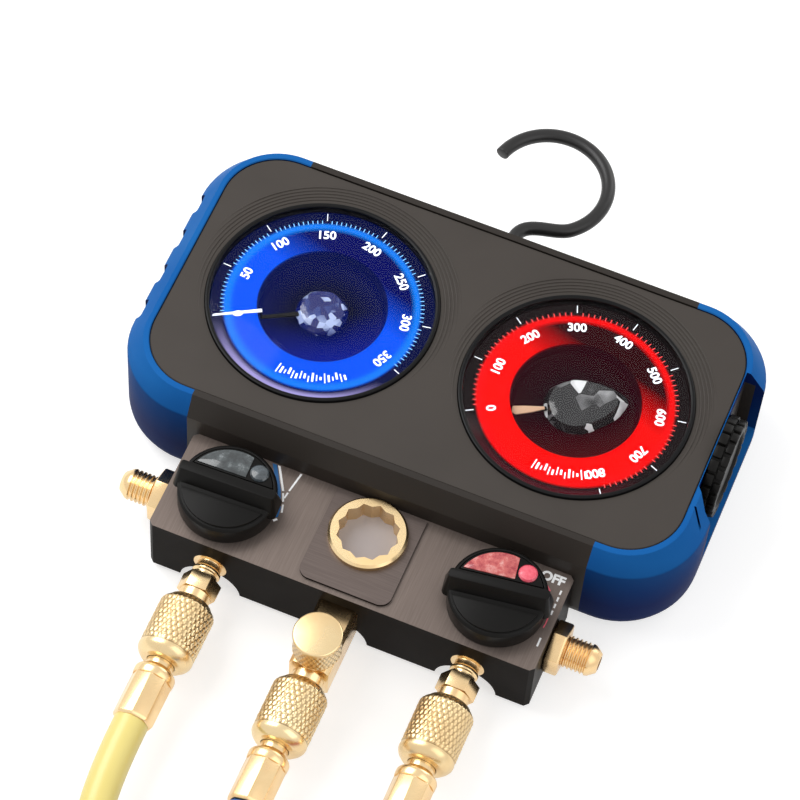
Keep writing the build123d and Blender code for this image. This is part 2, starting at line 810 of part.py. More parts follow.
block_middle = (block_front + block_end) / 2
port_places = (-gauge_x, 0, gauge_x)
with BuildPart() as manifold_block:
    with BuildSketch(Plane.XY.offset(block_bottom)):
        with Locations((0, block_middle)):
            Rectangle(block_length, block_depth)
    extrude(amount=block_top - block_bottom)
    chamfer(manifold_block.edges().filter_by(Axis.Z), block_edge)
    # scallops under the hose ports
    with BuildSketch(Plane.XZ.offset(-block_end)):
        with Locations(*[(x, block_bottom - 1) for x in port_places]):
            Circle(scallop_radius)
    extrude(amount=-scallop_depth, mode=Mode.SUBTRACT)
    # gallery from end to end, and the end ports
    with BuildSketch(Plane.YZ.offset(-block_length / 2)):
        with Locations((gallery_y, gallery_height)):
            Circle(gallery_radius)
    extrude(amount=block_length, mode=Mode.SUBTRACT)
    for end in (-1, 1):
        with BuildSketch(Plane.YZ.offset(end * block_length / 2)):
            with Locations((gallery_y, gallery_height)):
                Circle(spigot_radius)
        extrude(amount=-end * spigot_length, mode=Mode.SUBTRACT)
    # hose ports
    with BuildSketch(Plane.XZ.offset(-block_end)):
        with Locations(*[(x, nipple_height) for x in port_places]):
            Circle(spigot_radius)
    extrude(amount=-spigot_length, mode=Mode.SUBTRACT)
    with BuildSketch(Plane.XZ.offset(-gallery_y)):
        with Locations(*[(x, nipple_height) for x in port_places]):
            Circle(gallery_radius)
    extrude(amount=gallery_y - block_end, mode=Mode.SUBTRACT)
    # gauge ports
    with BuildSketch(Plane.XZ.offset(half_width)):
        with Locations((-gauge_x, socket_height), (gauge_x, socket_height)):
            Circle(socket_spigot_radius)
    extrude(amount=socket_spigot_depth, mode=Mode.SUBTRACT)
    # valve bores
    with BuildSketch(Plane.XY.offset(block_top)):
        with Locations((-valve_x, valve_y), (valve_x, valve_y)):
            Circle(valve_bore_radius)
    extrude(amount=-(block_top - gallery_height + valve_bore_radius), mode=Mode.SUBTRACT)
    # sight glass pocket
    with BuildSketch(Plane.XY.offset(block_top)):
        with Locations((0, sight_y)):
            Circle(sight_body_radius)
    extrude(amount=-(block_top - sight_seat), mode=Mode.SUBTRACT)
    with BuildSketch(Plane.XY.offset(sight_seat)):
        with Locations((0, sight_y)):
            Circle(sight_chamber_radius)
    extrude(amount=-(sight_seat - gallery_height), mode=Mode.SUBTRACT)
manifold_block.part.label = "manifold_block"
export_step(manifold_block.part, "parts/manifold_block.step")

plate_far = block_front - centre_plate_top_gap
with BuildPart() as centre_plate:
    with BuildSketch(Plane.XY.offset(block_top)) as plate_outline:
        with Locations((0, plate_far)):
            Rectangle(centre_plate_width, centre_plate_length, align=(Align.CENTER, Align.MAX))
        fillet(plate_outline.vertices().group_by(Axis.Y)[0], centre_plate_corner)
        with Locations((0, sight_y)):
            Circle(sight_body_radius, mode=Mode.SUBTRACT)
    extrude(amount=centre_plate_rise)
centre_plate.part.label = "centre_plate"
export_step(centre_plate.part, "parts/centre_plate.step")

flange_bottom = block_top + centre_plate_rise
with BuildPart() as sight_glass_nut:
    with BuildSketch(Plane.XY.offset(sight_seat)):
        with Locations((0, sight_y)):
            Circle(sight_body_radius)
    extrude(amount=flange_bottom - sight_seat)
    with BuildSketch(Plane.XY.offset(flange_bottom)):
        with Locations((0, sight_y)):
            Circle(sight_flange_radius)
    extrude(amount=sight_flange_top - flange_bottom)
    chamfer(sight_glass_nut.edges().group_by(Axis.Z)[-1], sight_chamfer)
    with BuildSketch(Plane.XY.offset(sight_flange_top)):
        for turn in (0, 30):
            with Locations((0, sight_y)):
                RegularPolygon(sight_socket_across / 2, 6, major_radius=False, rotation=turn)
    extrude(amount=-(sight_flange_top - sight_glass_top), mode=Mode.SUBTRACT)
    with BuildSketch(Plane.XY.offset(sight_seat)):
        with Locations((0, sight_y)):
            Circle(sight_glass_radius)
    extrude(amount=sight_glass_top - sight_seat, mode=Mode.SUBTRACT)
sight_glass_nut.part.label = "sight_glass_nut"
export_step(sight_glass_nut.part, "parts/sight_glass_nut.step")

with BuildPart() as sight_glass:
    with BuildSketch(Plane.XY.offset(sight_seat)):
        with Locations((0, sight_y)):
            Circle(sight_glass_radius)
    extrude(amount=sight_glass_top - sight_seat)
sight_glass.part.label = "sight_glass"
export_step(sight_glass.part, "parts/sight_glass.step")

# ---- Valves -------------------------------------------------------------------------------------------

base_bottom = block_top + valve_base_gap
for side, x, turn in (("low", -valve_x, low_valve_turn), ("high", valve_x, high_valve_turn)):

    with BuildSketch(Plane(origin=(x, valve_y, 0)).rotated((0, 0, turn))) as insert_outline:
        Circle(valve_pad_radius)
        with Locations((0, valve_bar_low_width / 2 + valve_groove / 2)):
            Rectangle(4 * valve_base_radius, 2 * valve_base_radius, align=(Align.CENTER, Align.MIN),
                      mode=Mode.INTERSECT)

    with BuildSketch(Plane(origin=(x, valve_y, 0)).rotated((0, 0, turn))) as pad_outline:
        Circle(valve_pad_radius)
        with Locations((0, -valve_bar_low_width / 2 - valve_groove)):
            Rectangle(4 * valve_base_radius, 2 * valve_base_radius, align=(Align.CENTER, Align.MAX),
                      mode=Mode.INTERSECT)

    with BuildPart() as valve_knob:
        with BuildSketch(Plane(origin=(x, valve_y, base_bottom))):
            Circle(valve_base_radius)
        extrude(amount=valve_base_top - base_bottom)
        chamfer(valve_knob.edges().group_by(Axis.Z)[-1], valve_chamfer)
        extrude(Pos(0, 0, valve_base_top) * pad_outline.sketch, amount=valve_pad_rise)
        bar_plane = Plane(origin=(x, valve_y, valve_base_top - valve_bar_sink)).rotated((0, 0, turn))
        with BuildSketch(bar_plane):
            RectangleRounded(valve_bar_length, valve_bar_low_width, valve_bar_corner)
        with BuildSketch(bar_plane.offset(valve_bar_top - valve_base_top + valve_bar_sink)):
            RectangleRounded(valve_bar_length - valve_bar_slope, valve_bar_top_width, valve_bar_corner / 2)
        loft()
        extrude(Pos(0, 0, valve_base_top) * insert_outline.sketch, amount=-insert_depth, mode=Mode.SUBTRACT)
        with BuildSketch(Plane(origin=(x, valve_y, base_bottom))):
            Circle(valve_stem_radius)
        extrude(amount=valve_base_top - base_bottom - insert_depth - valve_cap_wall, mode=Mode.SUBTRACT)
    valve_knob.part.label = f"{side}_valve_knob"
    export_step(valve_knob.part, f"parts/{side}_valve_knob.step")

    with BuildPart() as knob_insert:
        extrude(Pos(0, 0, valve_base_top - insert_depth) * insert_outline.sketch, amount=insert_depth)
    knob_insert.part.label = f"{side}_knob_insert"
    export_step(knob_insert.part, f"parts/{side}_knob_insert.step")

    with BuildPart() as valve_stem:
        with BuildSketch(Plane(origin=(x, valve_y, gallery_height))):
            Circle(valve_stem_radius)
        extrude(amount=valve_base_top - insert_depth - valve_cap_wall - gallery_height)
        with Locations((x, valve_y, gallery_height)):
            Sphere(valve_bore_radius - running_gap)
        with Locations(Location((x, valve_y, gallery_height), (0, 90, turn))):
            Cylinder(gallery_radius, 3 * valve_bore_radius, mode=Mode.SUBTRACT)
    valve_stem.part.label = f"{side}_valve_stem"
    export_step(valve_stem.part, f"parts/{side}_valve_stem.step")

# ---- Flare ports and nipples --------------------------------------------------------------------------

port_end = block_length / 2 + flare_hex_length + flare_length
with BuildPart() as flare_ports:
    for end in (-1, 1):
        face = end * block_length / 2
        with BuildSketch(Plane.YZ.offset(face - end * spigot_length)):
            with Locations((gallery_y, gallery_height)):
                Circle(spigot_radius)
        extrude(amount=end * spigot_length)
        with BuildSketch(Plane.YZ.offset(face)):
            with Locations((gallery_y, gallery_height)):
                RegularPolygon(flare_hex / 2, 6, major_radius=False)
        extrude(amount=end * flare_hex_length)
        with BuildSketch(Plane.YZ.offset(face + end * flare_hex_length)):
            with Locations((gallery_y, gallery_height)):
                Circle(flare_radius)
        extrude(amount=end * (flare_length - flare_tip))
        with BuildSketch(Plane.YZ.offset(end * (port_end - flare_tip))):
            with Locations((gallery_y, gallery_height)):
                Circle(flare_radius)
        extrude(amount=end * flare_tip, taper=flare_tip_angle)
        with BuildSketch(Plane.YZ.offset(end * port_end)):
            with Locations((gallery_y, gallery_height)):
                Circle(flare_bore_radius)
        extrude(amount=-end * (port_end - block_length / 2 + spigot_length), mode=Mode.SUBTRACT)
flare_ports.part.label = "flare_ports"
export_step(flare_ports.part, "parts/flare_ports.step")

nipple_hex_start = block_end - nipple_neck_length
nipple_hex_end = nipple_hex_start - nipple_hex_length
nut_start = nipple_hex_end - nipple_thread_gap
nipple_end = nut_start - nut_thread_length
with BuildPart() as hose_nipples:
    for x in (-gauge_x, gauge_x):
        neck_points = [
            (flare_bore_radius, -block_end - spigot_length),
            (spigot_radius, -block_end - spigot_length),
            (spigot_radius, -block_end),
            (nipple_neck_radius, -block_end),
            (nipple_neck_radius, -block_end + nipple_ring_start),
            (nipple_ring_radius, -block_end + nipple_ring_start + nipple_ring_slope),
            (nipple_ring_radius, -block_end + nipple_ring_end - nipple_ring_slope),
            (nipple_neck_radius, -block_end + nipple_ring_end),
            (nipple_neck_radius, -nipple_hex_end),
            (flare_radius, -nipple_hex_end),
            (flare_radius, -nipple_end - flare_tip),
            (flare_bore_radius + flare_lip, -nipple_end),
            (flare_bore_radius, -nipple_end),
        ]
        revolve(outline([(r, -d) for r, d in neck_points], Plane(origin=(x, 0, nipple_height))),
                axis=Axis((x, 0, nipple_height), (0, 1, 0)))
        with BuildSketch(Plane.XZ.offset(-nipple_hex_start)):
            with Locations((x, nipple_height)):
                RegularPolygon(nipple_hex / 2, 6, major_radius=False)
                Circle(flare_bore_radius, mode=Mode.SUBTRACT)
        extrude(amount=nipple_hex_length)
hose_nipples.part.label = "hose_nipples"
export_step(hose_nipples.part, "parts/hose_nipples.step")

# ---- Tee with the service port ------------------------------------------------------------------------

tee_end = block_end - tee_length
centre_nut_start = tee_end - nipple_thread_gap
centre_thread_end = centre_nut_start - nut_thread_length
tee_top = nipple_height + tee_height / 2
with BuildPart() as service_tee:
    with BuildSketch(Plane.XZ.offset(-block_end - spigot_length)):
        with Locations((0, nipple_height)):
            Circle(spigot_radius)
    extrude(amount=spigot_length)
    with BuildSketch(Plane.XZ.offset(-block_end)):
        with Locations((0, nipple_height)):
            Rectangle(tee_width, tee_height)
    extrude(amount=tee_length)
    chamfer(service_tee.edges().filter_by(Axis.Y), tee_chamfer)
    with BuildSketch(Plane.XZ.offset(-tee_end)):
        with Locations((0, nipple_height)):
            Circle(flare_radius)
    extrude(amount=tee_end - centre_thread_end)
    # service boss
    with BuildSketch(Plane.XY.offset(nipple_height)):
        with Locations((0, cap_y)):
            Circle(flare_radius)
    extrude(amount=cap_top - cap_wall - boss_top_gap - nipple_height)
    with BuildSketch(Plane.XY.offset(nipple_height)):
        with Locations((0, cap_y)):
            Circle(flare_bore_radius)
    extrude(amount=cap_top - nipple_height, mode=Mode.SUBTRACT)
    with BuildSketch(Plane.XZ.offset(-block_end - spigot_length)):
        with Locations((0, nipple_height)):
            Circle(flare_bore_radius)
    extrude(amount=block_end + spigot_length - centre_thread_end, mode=Mode.SUBTRACT)
service_tee.part.label = "service_tee"
export_step(service_tee.part, "parts/service_tee.step")

with BuildPart() as service_cap:
    with BuildSketch(Plane.XY.offset(cap_bottom)):
        with Locations((0, cap_y)):
            Circle(cap_radius)
    extrude(amount=cap_flange_height)
    with BuildSketch(Plane.XY.offset(cap_bottom + cap_flange_height)):
        with Locations((0, cap_y)):
            Circle(cap_radius - cap_flange)
            with PolarLocations(cap_radius - cap_flange, cap_ribs):
                Rectangle(cap_flange, cap_flange)
    extrude(amount=cap_top - cap_bottom - cap_flange_height - cap_disc)
    with BuildSketch(Plane.XY.offset(cap_top - cap_disc)):
        with Locations((0, cap_y)):
            Circle(cap_radius - cap_flange / 2)
    extrude(amount=cap_disc)
    chamfer(service_cap.edges().group_by(Axis.Z)[-1], cap_chamfer)
    with BuildSketch(Plane.XY.offset(cap_bottom)):
        with Locations((0, cap_y)):
            Circle(flare_radius + running_gap)
    extrude(amount=cap_top - cap_wall - cap_bottom, mode=Mode.SUBTRACT)
service_cap.part.label = "service_cap"
export_step(service_cap.part, "parts/service_cap.step")

# ---- Hose ends ----------------------------------------------------------------------------------------

def nut_profile(plane):
    """Half section of a knurled nut with its captive chamber: (radius, distance back from the mouth)."""
    bore = flare_radius + running_gap
    rear_hole = tail_radius + running_gap
    rear_shoulder = nut_length - nut_shoulder
    band = nut_length - nut_rear_band
    return outline([
        (bore, 0),
        (nut_radius - nut_bevel, 0),
        (nut_radius, nut_shoulder),
        (nut_radius, band - 1),
        (nut_radius - nut_groove, band - 1),
        (nut_radius - nut_groove, band),
        (nut_radius, band),
        (nut_radius, rear_shoulder),
        (nut_radius - nut_bevel, nut_length),
        (rear_hole, nut_length),
        (rear_hole, nut_length - nut_back_wall),
        (nut_chamber_radius, nut_length - nut_back_wall),
        (nut_chamber_radius, nut_thread_length + 0.5),
        (bore, nut_thread_length + 0.5),
    ], plane)


def tail_profile(plane):
    """Half section of the hose tail: captive head, stem through the nut and the crimped shell."""
    head_start = nut_thread_length + 1
    head_end = nut_length - nut_back_wall - ferrule_gap
    shell_start = nut_length + ferrule_gap
    return outline([
        (flare_bore_radius, head_start),
        (tail_head_radius, head_start),
        (tail_head_radius, head_end),
        (tail_radius, head_end),
        (tail_radius, shell_start),
        (ferrule_radius, shell_start),
        (ferrule_radius, shell_start + ferrule_length),
        (flare_bore_radius, shell_start + ferrule_length),
    ], plane)


near_ends = {
    "low": Vector(-gauge_x, nut_start, nipple_height),
    "service": Vector(0, centre_nut_start, nipple_height),
    "high": Vector(gauge_x, nut_start, nipple_height),
}
for side, mouth in near_ends.items():
    with BuildPart() as hose_nut:
        plane = Plane(origin=mouth, x_dir=(1, 0, 0), z_dir=(0, 0, -1))
        revolve(nut_profile(plane), axis=Axis(mouth, (0, 1, 0)))
    hose_nut.part.label = f"{side}_hose_nut"
    export_step(hose_nut.part, f"parts/{side}_hose_nut.step")

end_reach = nut_length + ferrule_gap + ferrule_length
with BuildPart() as near_hose_ferrules:
    for mouth in near_ends.values():
        plane = Plane(origin=mouth, x_dir=(1, 0, 0), z_dir=(0, 0, -1))
        revolve(tail_profile(plane), axis=Axis(mouth, (0, 1, 0)))
        # crimp flats
        shell_back = mouth.Y - nut_length - ferrule_gap - ferrule_collar
        with BuildSketch(Plane.XZ.offset(-shell_back)):
            with Locations((mouth.X, mouth.Z)):
                Circle(ferrule_radius + 1)
                RegularPolygon(ferrule_across / 2, 8, major_radius=False, mode=Mode.SUBTRACT)
        extrude(amount=ferrule_length - ferrule_collar, mode=Mode.SUBTRACT)
near_hose_ferrules.part.label = "near_hose_ferrules"
export_step(near_hose_ferrules.part, "parts/near_hose_ferrules.step")

# ---- Hoses --------------------------------------------------------------------------------------------

def hose_path(points):
    """Straight runs joined by arcs, each arc as large as its two runs allow."""
    radii = []
    for before, corner, after in zip(points, points[1:], points[2:]):
        run_in = Vector(*corner) - Vector(*before)
        run_out = Vector(*after) - Vector(*corner)
        half_turn = radians(run_in.get_angle(run_out)) / 2
        radii.append(0.45 * min(run_in.length, run_out.length) / tan(half_turn))
    return radii


hose_end_y = nut_start - end_reach
centre_hose_end_y = centre_nut_start - end_reach
low_route = [
    (-gauge_x, hose_end_y, nipple_height),
    (-gauge_x, -180.0, nipple_height),
    (-41.5, -205.0, 12.2),
    (-28.0, -228.5, 7.9),
    (-16.8, -252.0, hose_rest),
    (-lane_pitch, -271.0, hose_rest),
    (-lane_pitch, coil_y, hose_rest),
]
service_route = [
    (0.0, centre_hose_end_y, nipple_height),
    (0.0, -188.5, nipple_height),
    (0.9, -206.0, 11.4),
    (1.3, -225.0, 7.2),
    (0.7, -247.0, hose_rest),
    (0.0, -269.0, hose_rest),
    (0.0, coil_y, hose_rest),
]
high_route = [
    (gauge_x, hose_end_y, nipple_height),
    (gauge_x, -173.5, nipple_height),
    (45.4, -189.0, 10.7),
    (41.2, -206.0, 6.4),
    (31.5, -227.0, hose_rest),
    (19.5, -247.0, hose_rest),
    (lane_pitch, -268.5, hose_rest),
    (lane_pitch, coil_y, hose_rest),
]
routes = {"low": low_route, "service": service_route, "high": high_route}
for side, route in routes.items():
    radii = hose_path(route)
    print(side, "hose radii", [round(radius) for radius in radii])
    with BuildPart() as hose_tube:
        with BuildLine():
            FilletPolyline(*route, radius=radii)
        with BuildSketch(Plane(origin=route[0], z_dir=(0, -1, 0))):
            Circle(hose_radius)
        sweep()
    hose_tube.part.label = f"{side}_hose_tube"
    export_step(hose_tube.part, f"parts/{side}_hose_tube.step")
    run_total = sum((Vector(*end) - Vector(*start)).length for start, end in zip(route, route[1:]))
    print(side, "tube volume over section", round(hose_tube.part.volume / (pi * hose_radius ** 2), 1),
          "runs", round(run_total, 1))

# Each coil is the closed outer shape of its lane: layer upon layer of a flat ring sector.
# (lane radius, angle where each layer starts, angle where it ends), counter-clockwise from +X
coils = {
    "low": (coil_inner_radius + 2 * lane_pitch, [(180, 435), (420, 640)]),
    "service": (coil_inner_radius + lane_pitch, [(180, 435), (420, 730)]),
    "high": (coil_inner_radius, [(180, 435), (420, 775), (760, 842)]),
}
for side, (lane_radius, layers) in coils.items():
    with BuildPart() as hose_coil:
        for layer, (begin, end) in enumerate(layers):
            with BuildSketch(Plane(origin=(coil_x, coil_y, layer * hose_ply))):
                with BuildLine():
                    inner = CenterArc((0, 0), lane_radius - hose_radius, begin, end - begin)
                    outer = CenterArc((0, 0), lane_radius + hose_radius, begin, end - begin)
                    Line(inner @ 0, outer @ 0)
                    Line(inner @ 1, outer @ 1)
                make_face()
            extrude(amount=hose_ply)
    hose_coil.part.label = f"{side}_hose_coil"
    export_step(hose_coil.part, f"parts/{side}_hose_coil.step")

# far ends: where each lane's top layer stops, heading on along the lane
far_ends = {}
for side, (lane_radius, layers) in coils.items():
    angle = radians(layers[-1][1])
    height = (len(layers) - 1) * hose_ply + nut_radius + ferrule_gap
    place = Vector(coil_x + lane_radius * cos(angle), coil_y + lane_radius * sin(angle), height)
    heading = Vector(-sin(angle), cos(angle), 0)
    far_ends[side] = (place, heading)

with BuildPart() as far_hose_ferrules:
    for place, heading in far_ends.values():
        mouth = place + heading * end_reach
        plane = Plane(origin=mouth, x_dir=Vector(0, 0, 1).cross(heading), z_dir=Vector(0, 0, 1))
        revolve(tail_profile(plane), axis=Axis(mouth, heading))
far_hose_ferrules.part.label = "far_hose_ferrules"
export_step(far_hose_ferrules.part, "parts/far_hose_ferrules.step")

with BuildPart() as far_hose_nuts:
    for place, heading in far_ends.values():
        mouth = place + heading * end_reach
        plane = Plane(origin=mouth, x_dir=Vector(0, 0, 1).cross(heading), z_dir=Vector(0, 0, 1))
        revolve(nut_profile(plane), axis=Axis(mouth, heading))
far_hose_nuts.part.label = "far_hose_nuts"
export_step(far_hose_nuts.part, "parts/far_hose_nuts.step")
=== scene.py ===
# Refrigerant manifold gauge set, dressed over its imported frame. Sizes are in metres unless a name ends in Mm.
from math import atan2, cos, degrees, hypot, pi, radians, sin

import bmesh
import bpy
from mathutils import Matrix, Vector, noise


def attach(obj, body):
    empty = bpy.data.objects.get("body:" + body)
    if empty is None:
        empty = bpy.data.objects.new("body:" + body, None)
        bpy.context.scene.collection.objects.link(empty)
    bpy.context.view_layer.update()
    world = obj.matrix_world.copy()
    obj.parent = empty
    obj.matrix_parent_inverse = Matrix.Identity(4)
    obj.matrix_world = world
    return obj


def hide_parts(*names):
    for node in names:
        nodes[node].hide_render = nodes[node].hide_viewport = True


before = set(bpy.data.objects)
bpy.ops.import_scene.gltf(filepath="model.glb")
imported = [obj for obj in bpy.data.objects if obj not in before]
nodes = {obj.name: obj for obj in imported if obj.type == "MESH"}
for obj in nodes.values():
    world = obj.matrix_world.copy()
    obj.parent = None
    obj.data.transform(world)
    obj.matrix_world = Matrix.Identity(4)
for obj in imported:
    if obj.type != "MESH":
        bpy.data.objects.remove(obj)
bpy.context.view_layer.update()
mm = 0.001
mergeGap = 0.002 * mm
print("frame loaded:", len(nodes), "nodes")

cameraLook = {
    "place": (0.18319, -0.61476, 1.06644),
    "turn": (31.0920, -2.6387, 22.2964),
    "lens": 160.13,
    "sensor": 36.0,
}
cameraData = bpy.data.cameras.new("camera")
cameraData.lens = cameraLook["lens"]
cameraData.sensor_width = cameraLook["sensor"]
cameraData.clip_end = 10
camera = bpy.data.objects.new("camera", cameraData)
camera.location = cameraLook["place"]
camera.rotation_euler = [radians(angle) for angle in cameraLook["turn"]]
bpy.context.scene.collection.objects.link(camera)
bpy.context.scene.camera = camera
bpy.context.scene.view_settings.view_transform = "Standard"


class Wire:
    # a socket that can be used in sums
    def __init__(self, recipe, socket):
        self.recipe = recipe
        self.socket = socket

    def maths(self, operation, *terms):
        return self.recipe.add("ShaderNodeMath", {"operation": operation}, dict(enumerate(terms)))

    def __add__(self, other):
        return self.maths("ADD", self, other)

    def __radd__(self, other):
        return self.maths("ADD", other, self)

    def __sub__(self, other):
        return self.maths("SUBTRACT", self, other)

    def __rsub__(self, other):
        return self.maths("SUBTRACT", other, self)

    def __mul__(self, other):
        return self.maths("MULTIPLY", self, other)

    def __rmul__(self, other):
        return self.maths("MULTIPLY", other, self)


class Recipe:
    # one material, or the world, and the nodes in it
    def __init__(self, name, world=False):
        self.owner = bpy.data.worlds.new(name) if world else bpy.data.materials.new(name)
        self.owner.use_nodes = True
        self.tree = self.owner.node_tree
        self.tree.nodes.clear()
        self.output = self.tree.nodes.new("ShaderNodeOutputWorld" if world else "ShaderNodeOutputMaterial")

    def plug(self, node, sockets):
        for key, value in sockets.items():
            if isinstance(value, Wire):
                self.tree.links.new(value.socket, node.inputs[key])
            elif isinstance(value, (tuple, list)) and len(value) == 3 and node.inputs[key].type == "RGBA":
                node.inputs[key].default_value = (*value, 1)
            else:
                node.inputs[key].default_value = value

    def add(self, kind, settings=None, sockets=None, out=0):
        node = self.tree.nodes.new(kind)
        for key, value in (settings or {}).items():
            if key == "stops":
                ramp = node.color_ramp
                while len(ramp.elements) < len(value):
                    ramp.elements.new(1)
                for element, (position, colour) in zip(ramp.elements, value):
                    element.position = position
                    element.color = (*colour, 1)
            else:
                setattr(node, key, value)
        self.plug(node, sockets or {})
        return Wire(self, node.outputs[out])

    def place(self, centre=(0, 0, 0), scale=(1, 1, 1)):
        # object coordinates, moved so that centre becomes the middle of the pattern
        spot = self.add("ShaderNodeTexCoord", out="Object")
        shift = self.add("ShaderNodeVectorMath", {"operation": "SUBTRACT"}, {0: spot, 1: centre})
        return self.add("ShaderNodeMapping", {"vector_type": "POINT"}, {"Vector": shift, "Scale": scale})

    def axes(self, vector):
        # X, Y and Z of a vector
        parts = self.add("ShaderNodeSeparateXYZ", {}, {0: vector})
        return [Wire(self, socket) for socket in parts.socket.node.outputs]

    def upward(self, low, high):
        # 1 on faces that look up, 0 on walls; the mask for painted shade on walls
        return self.span(self.axes(self.add("ShaderNodeTexCoord", out="Normal"))[2], low, high)

    def seenRays(self):
        # 1 on rays from the lens, also by way of gloss or glass
        sight, gloss, glass = [self.add("ShaderNodeLightPath", out=f"Is {kind} Ray")
                               for kind in ("Camera", "Glossy", "Transmission")]
        return sight.maths("MAXIMUM", sight.maths("MAXIMUM", sight, gloss), glass)

    def grain(self, scale, detail=3, rough=0.5, where=None):
        return self.add("ShaderNodeTexNoise", {}, {"Vector": where or self.place(), "Scale": scale,
                                                   "Detail": detail, "Roughness": rough})

    def blend(self, factor, first, second):
        return self.add("ShaderNodeMix", {"data_type": "RGBA"}, {0: factor, 6: first, 7: second}, out=2)

    def span(self, value, low, high, start=0.0, end=1.0):
        return self.add("ShaderNodeMapRange", {"clamp": True},
                        {"Value": value, "From Min": low, "From Max": high, "To Min": start, "To Max": end})

    def bump(self, height, strength, distance):
        return self.add("ShaderNodeBump", {}, {"Height": height, "Strength": strength, "Distance": distance})

    def surface(self, shader):
        self.tree.links.new(shader.socket, self.output.inputs["Surface"])
        return self.owner

    def finish(self, **sockets):
        names = {"colour": "Base Color", "roughness": "Roughness", "metallic": "Metallic", "normal": "Normal",
                 "coat": "Coat Weight", "glow": "Emission Color", "glowStrength": "Emission Strength",
                 "specular": "Specular IOR Level"}
        values = {names[key]: value for key, value in sockets.items()}
        return self.surface(self.add("ShaderNodeBsdfPrincipled", {}, values))


def linear(red, green, blue):
    # screen colour, 0 to 255, as scene light
    def channel(value):
        share = value / 255
        return share / 12.92 if share <= 0.04045 else ((share + 0.055) / 1.055) ** 2.4
    return (channel(red), channel(green), channel(blue))


def markSharp(bm, angle):
    for edge in bm.edges:
        edge.smooth = edge.calc_face_angle(0.0) < radians(angle)
    for face in bm.faces:
        face.smooth = True


def makePiece(name, bm, material, body, stands=(), sharp=32, flip=True):
    # a finished bmesh becomes an object at the origin that rides on a body
    if flip:
        bmesh.ops.recalc_face_normals(bm, faces=bm.faces)
    markSharp(bm, sharp)
    mesh = bpy.data.meshes.new(name)
    bm.to_mesh(mesh)
    bm.free()
    mesh.materials.append(material)
    piece = bpy.data.objects.new(name, mesh)
    bpy.context.scene.collection.objects.link(piece)
    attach(piece, body)
    if stands:
        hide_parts(*stands)
    return piece


def turnTo(axis):
    # matrix that takes +Z to the given direction
    return Vector((0, 0, 1)).rotation_difference(Vector(axis)).to_matrix().to_4x4()


def lathe(bm, profile, centre, axis=(0, 0, 1), steps=96, close=True):
    # profile is a list of (radius, height) in millimetres, turned about the axis through centre
    start = [bm.verts.new((radius * mm, 0, height * mm)) for radius, height in profile]
    edges = [bm.edges.new(pair) for pair in zip(start, start[1:])]
    if close:
        edges.append(bm.edges.new((start[-1], start[0])))
    before = set(bm.verts) - set(start)
    bmesh.ops.spin(bm, geom=start + edges, cent=(0, 0, 0), axis=(0, 0, 1), angle=2 * pi, steps=steps,
                   use_merge=True)
    fresh = [vert for vert in bm.verts if vert not in before]
    bmesh.ops.remove_doubles(bm, verts=fresh, dist=mergeGap)
    fresh = [vert for vert in bm.verts if vert not in before]
    bmesh.ops.transform(bm, matrix=Matrix.Translation(Vector(centre) * mm) @ turnTo(axis), verts=fresh)
    return fresh


def prism(bm, corners, low, high):
    # a flat outline in millimetres, raised from low to high
    base = [bm.verts.new((x * mm, y * mm, low * mm)) for x, y in corners]
    face = bm.faces.new(base)
    raised = bmesh.ops.extrude_face_region(bm, geom=[face])
    top = [item for item in raised["geom"] if isinstance(item, bmesh.types.BMVert)]
    bmesh.ops.translate(bm, verts=top, vec=(0, 0, (high - low) * mm))
    return base + top


def roundEdges(bm, edges, width, segments=3):
    return bmesh.ops.bevel(bm, geom=list(edges), offset=width * mm, offset_type="OFFSET", affect="EDGES",
                           segments=segments, profile=0.5, material=-1, clamp_overlap=True)


def sharpEdges(bm, angle, part=None):
    # edges that turn by more than the angle, where part limits them to its own verts
    edges = [edge for edge in bm.edges if edge.calc_face_angle(0.0) > radians(angle)]
    return [edge for edge in edges if part is None or part.issuperset(edge.verts)]


def drum(radius, low, high, segments=96, taper=0.0):
    # an upright cylinder in its own bmesh, its top narrower by taper
    bm = bmesh.new()
    bmesh.ops.create_cone(bm, segments=segments, radius1=radius * mm, radius2=(radius - taper) * mm,
                          depth=(high - low) * mm, cap_ends=True)
    bmesh.ops.translate(bm, verts=bm.verts, vec=(0, 0, (low + high) / 2 * mm))
    return bm


def roundedBox(low, high, radius, segments=4):
    # a box in its own bmesh with all edges rounded, corners given in millimetres
    bm = bmesh.new()
    bmesh.ops.create_cube(bm, size=1)
    bmesh.ops.scale(bm, verts=bm.verts, vec=[(b - a) * mm for a, b in zip(low, high)])
    bmesh.ops.translate(bm, verts=bm.verts, vec=[(a + b) / 2 * mm for a, b in zip(low, high)])
    roundEdges(bm, bm.edges[:], radius, segments)
    return bm


def absorb(bm, other):
    # adds another bmesh's body to bm
    scratch = bpy.data.meshes.new("scratch")
    other.to_mesh(scratch)
    other.free()
    bm.from_mesh(scratch)
    bpy.data.meshes.remove(scratch)


def addRing(bm, width, height, radius, level, steps=14):
    # a rounded rectangle as one flat face, sizes in millimetres
    before = set(bm.faces)
    corners = [bm.verts.new((across * width / 2 * mm, along * height / 2 * mm, level * mm))
               for across, along in ((-1, -1), (1, -1), (1, 1), (-1, 1))]
    bm.faces.new(corners)
    bmesh.ops.bevel(bm, geom=corners, offset=radius * mm, offset_type="OFFSET", affect="VERTICES",
                    segments=steps, profile=0.5, material=-1)
    return [face for face in bm.faces if face not in before][0]


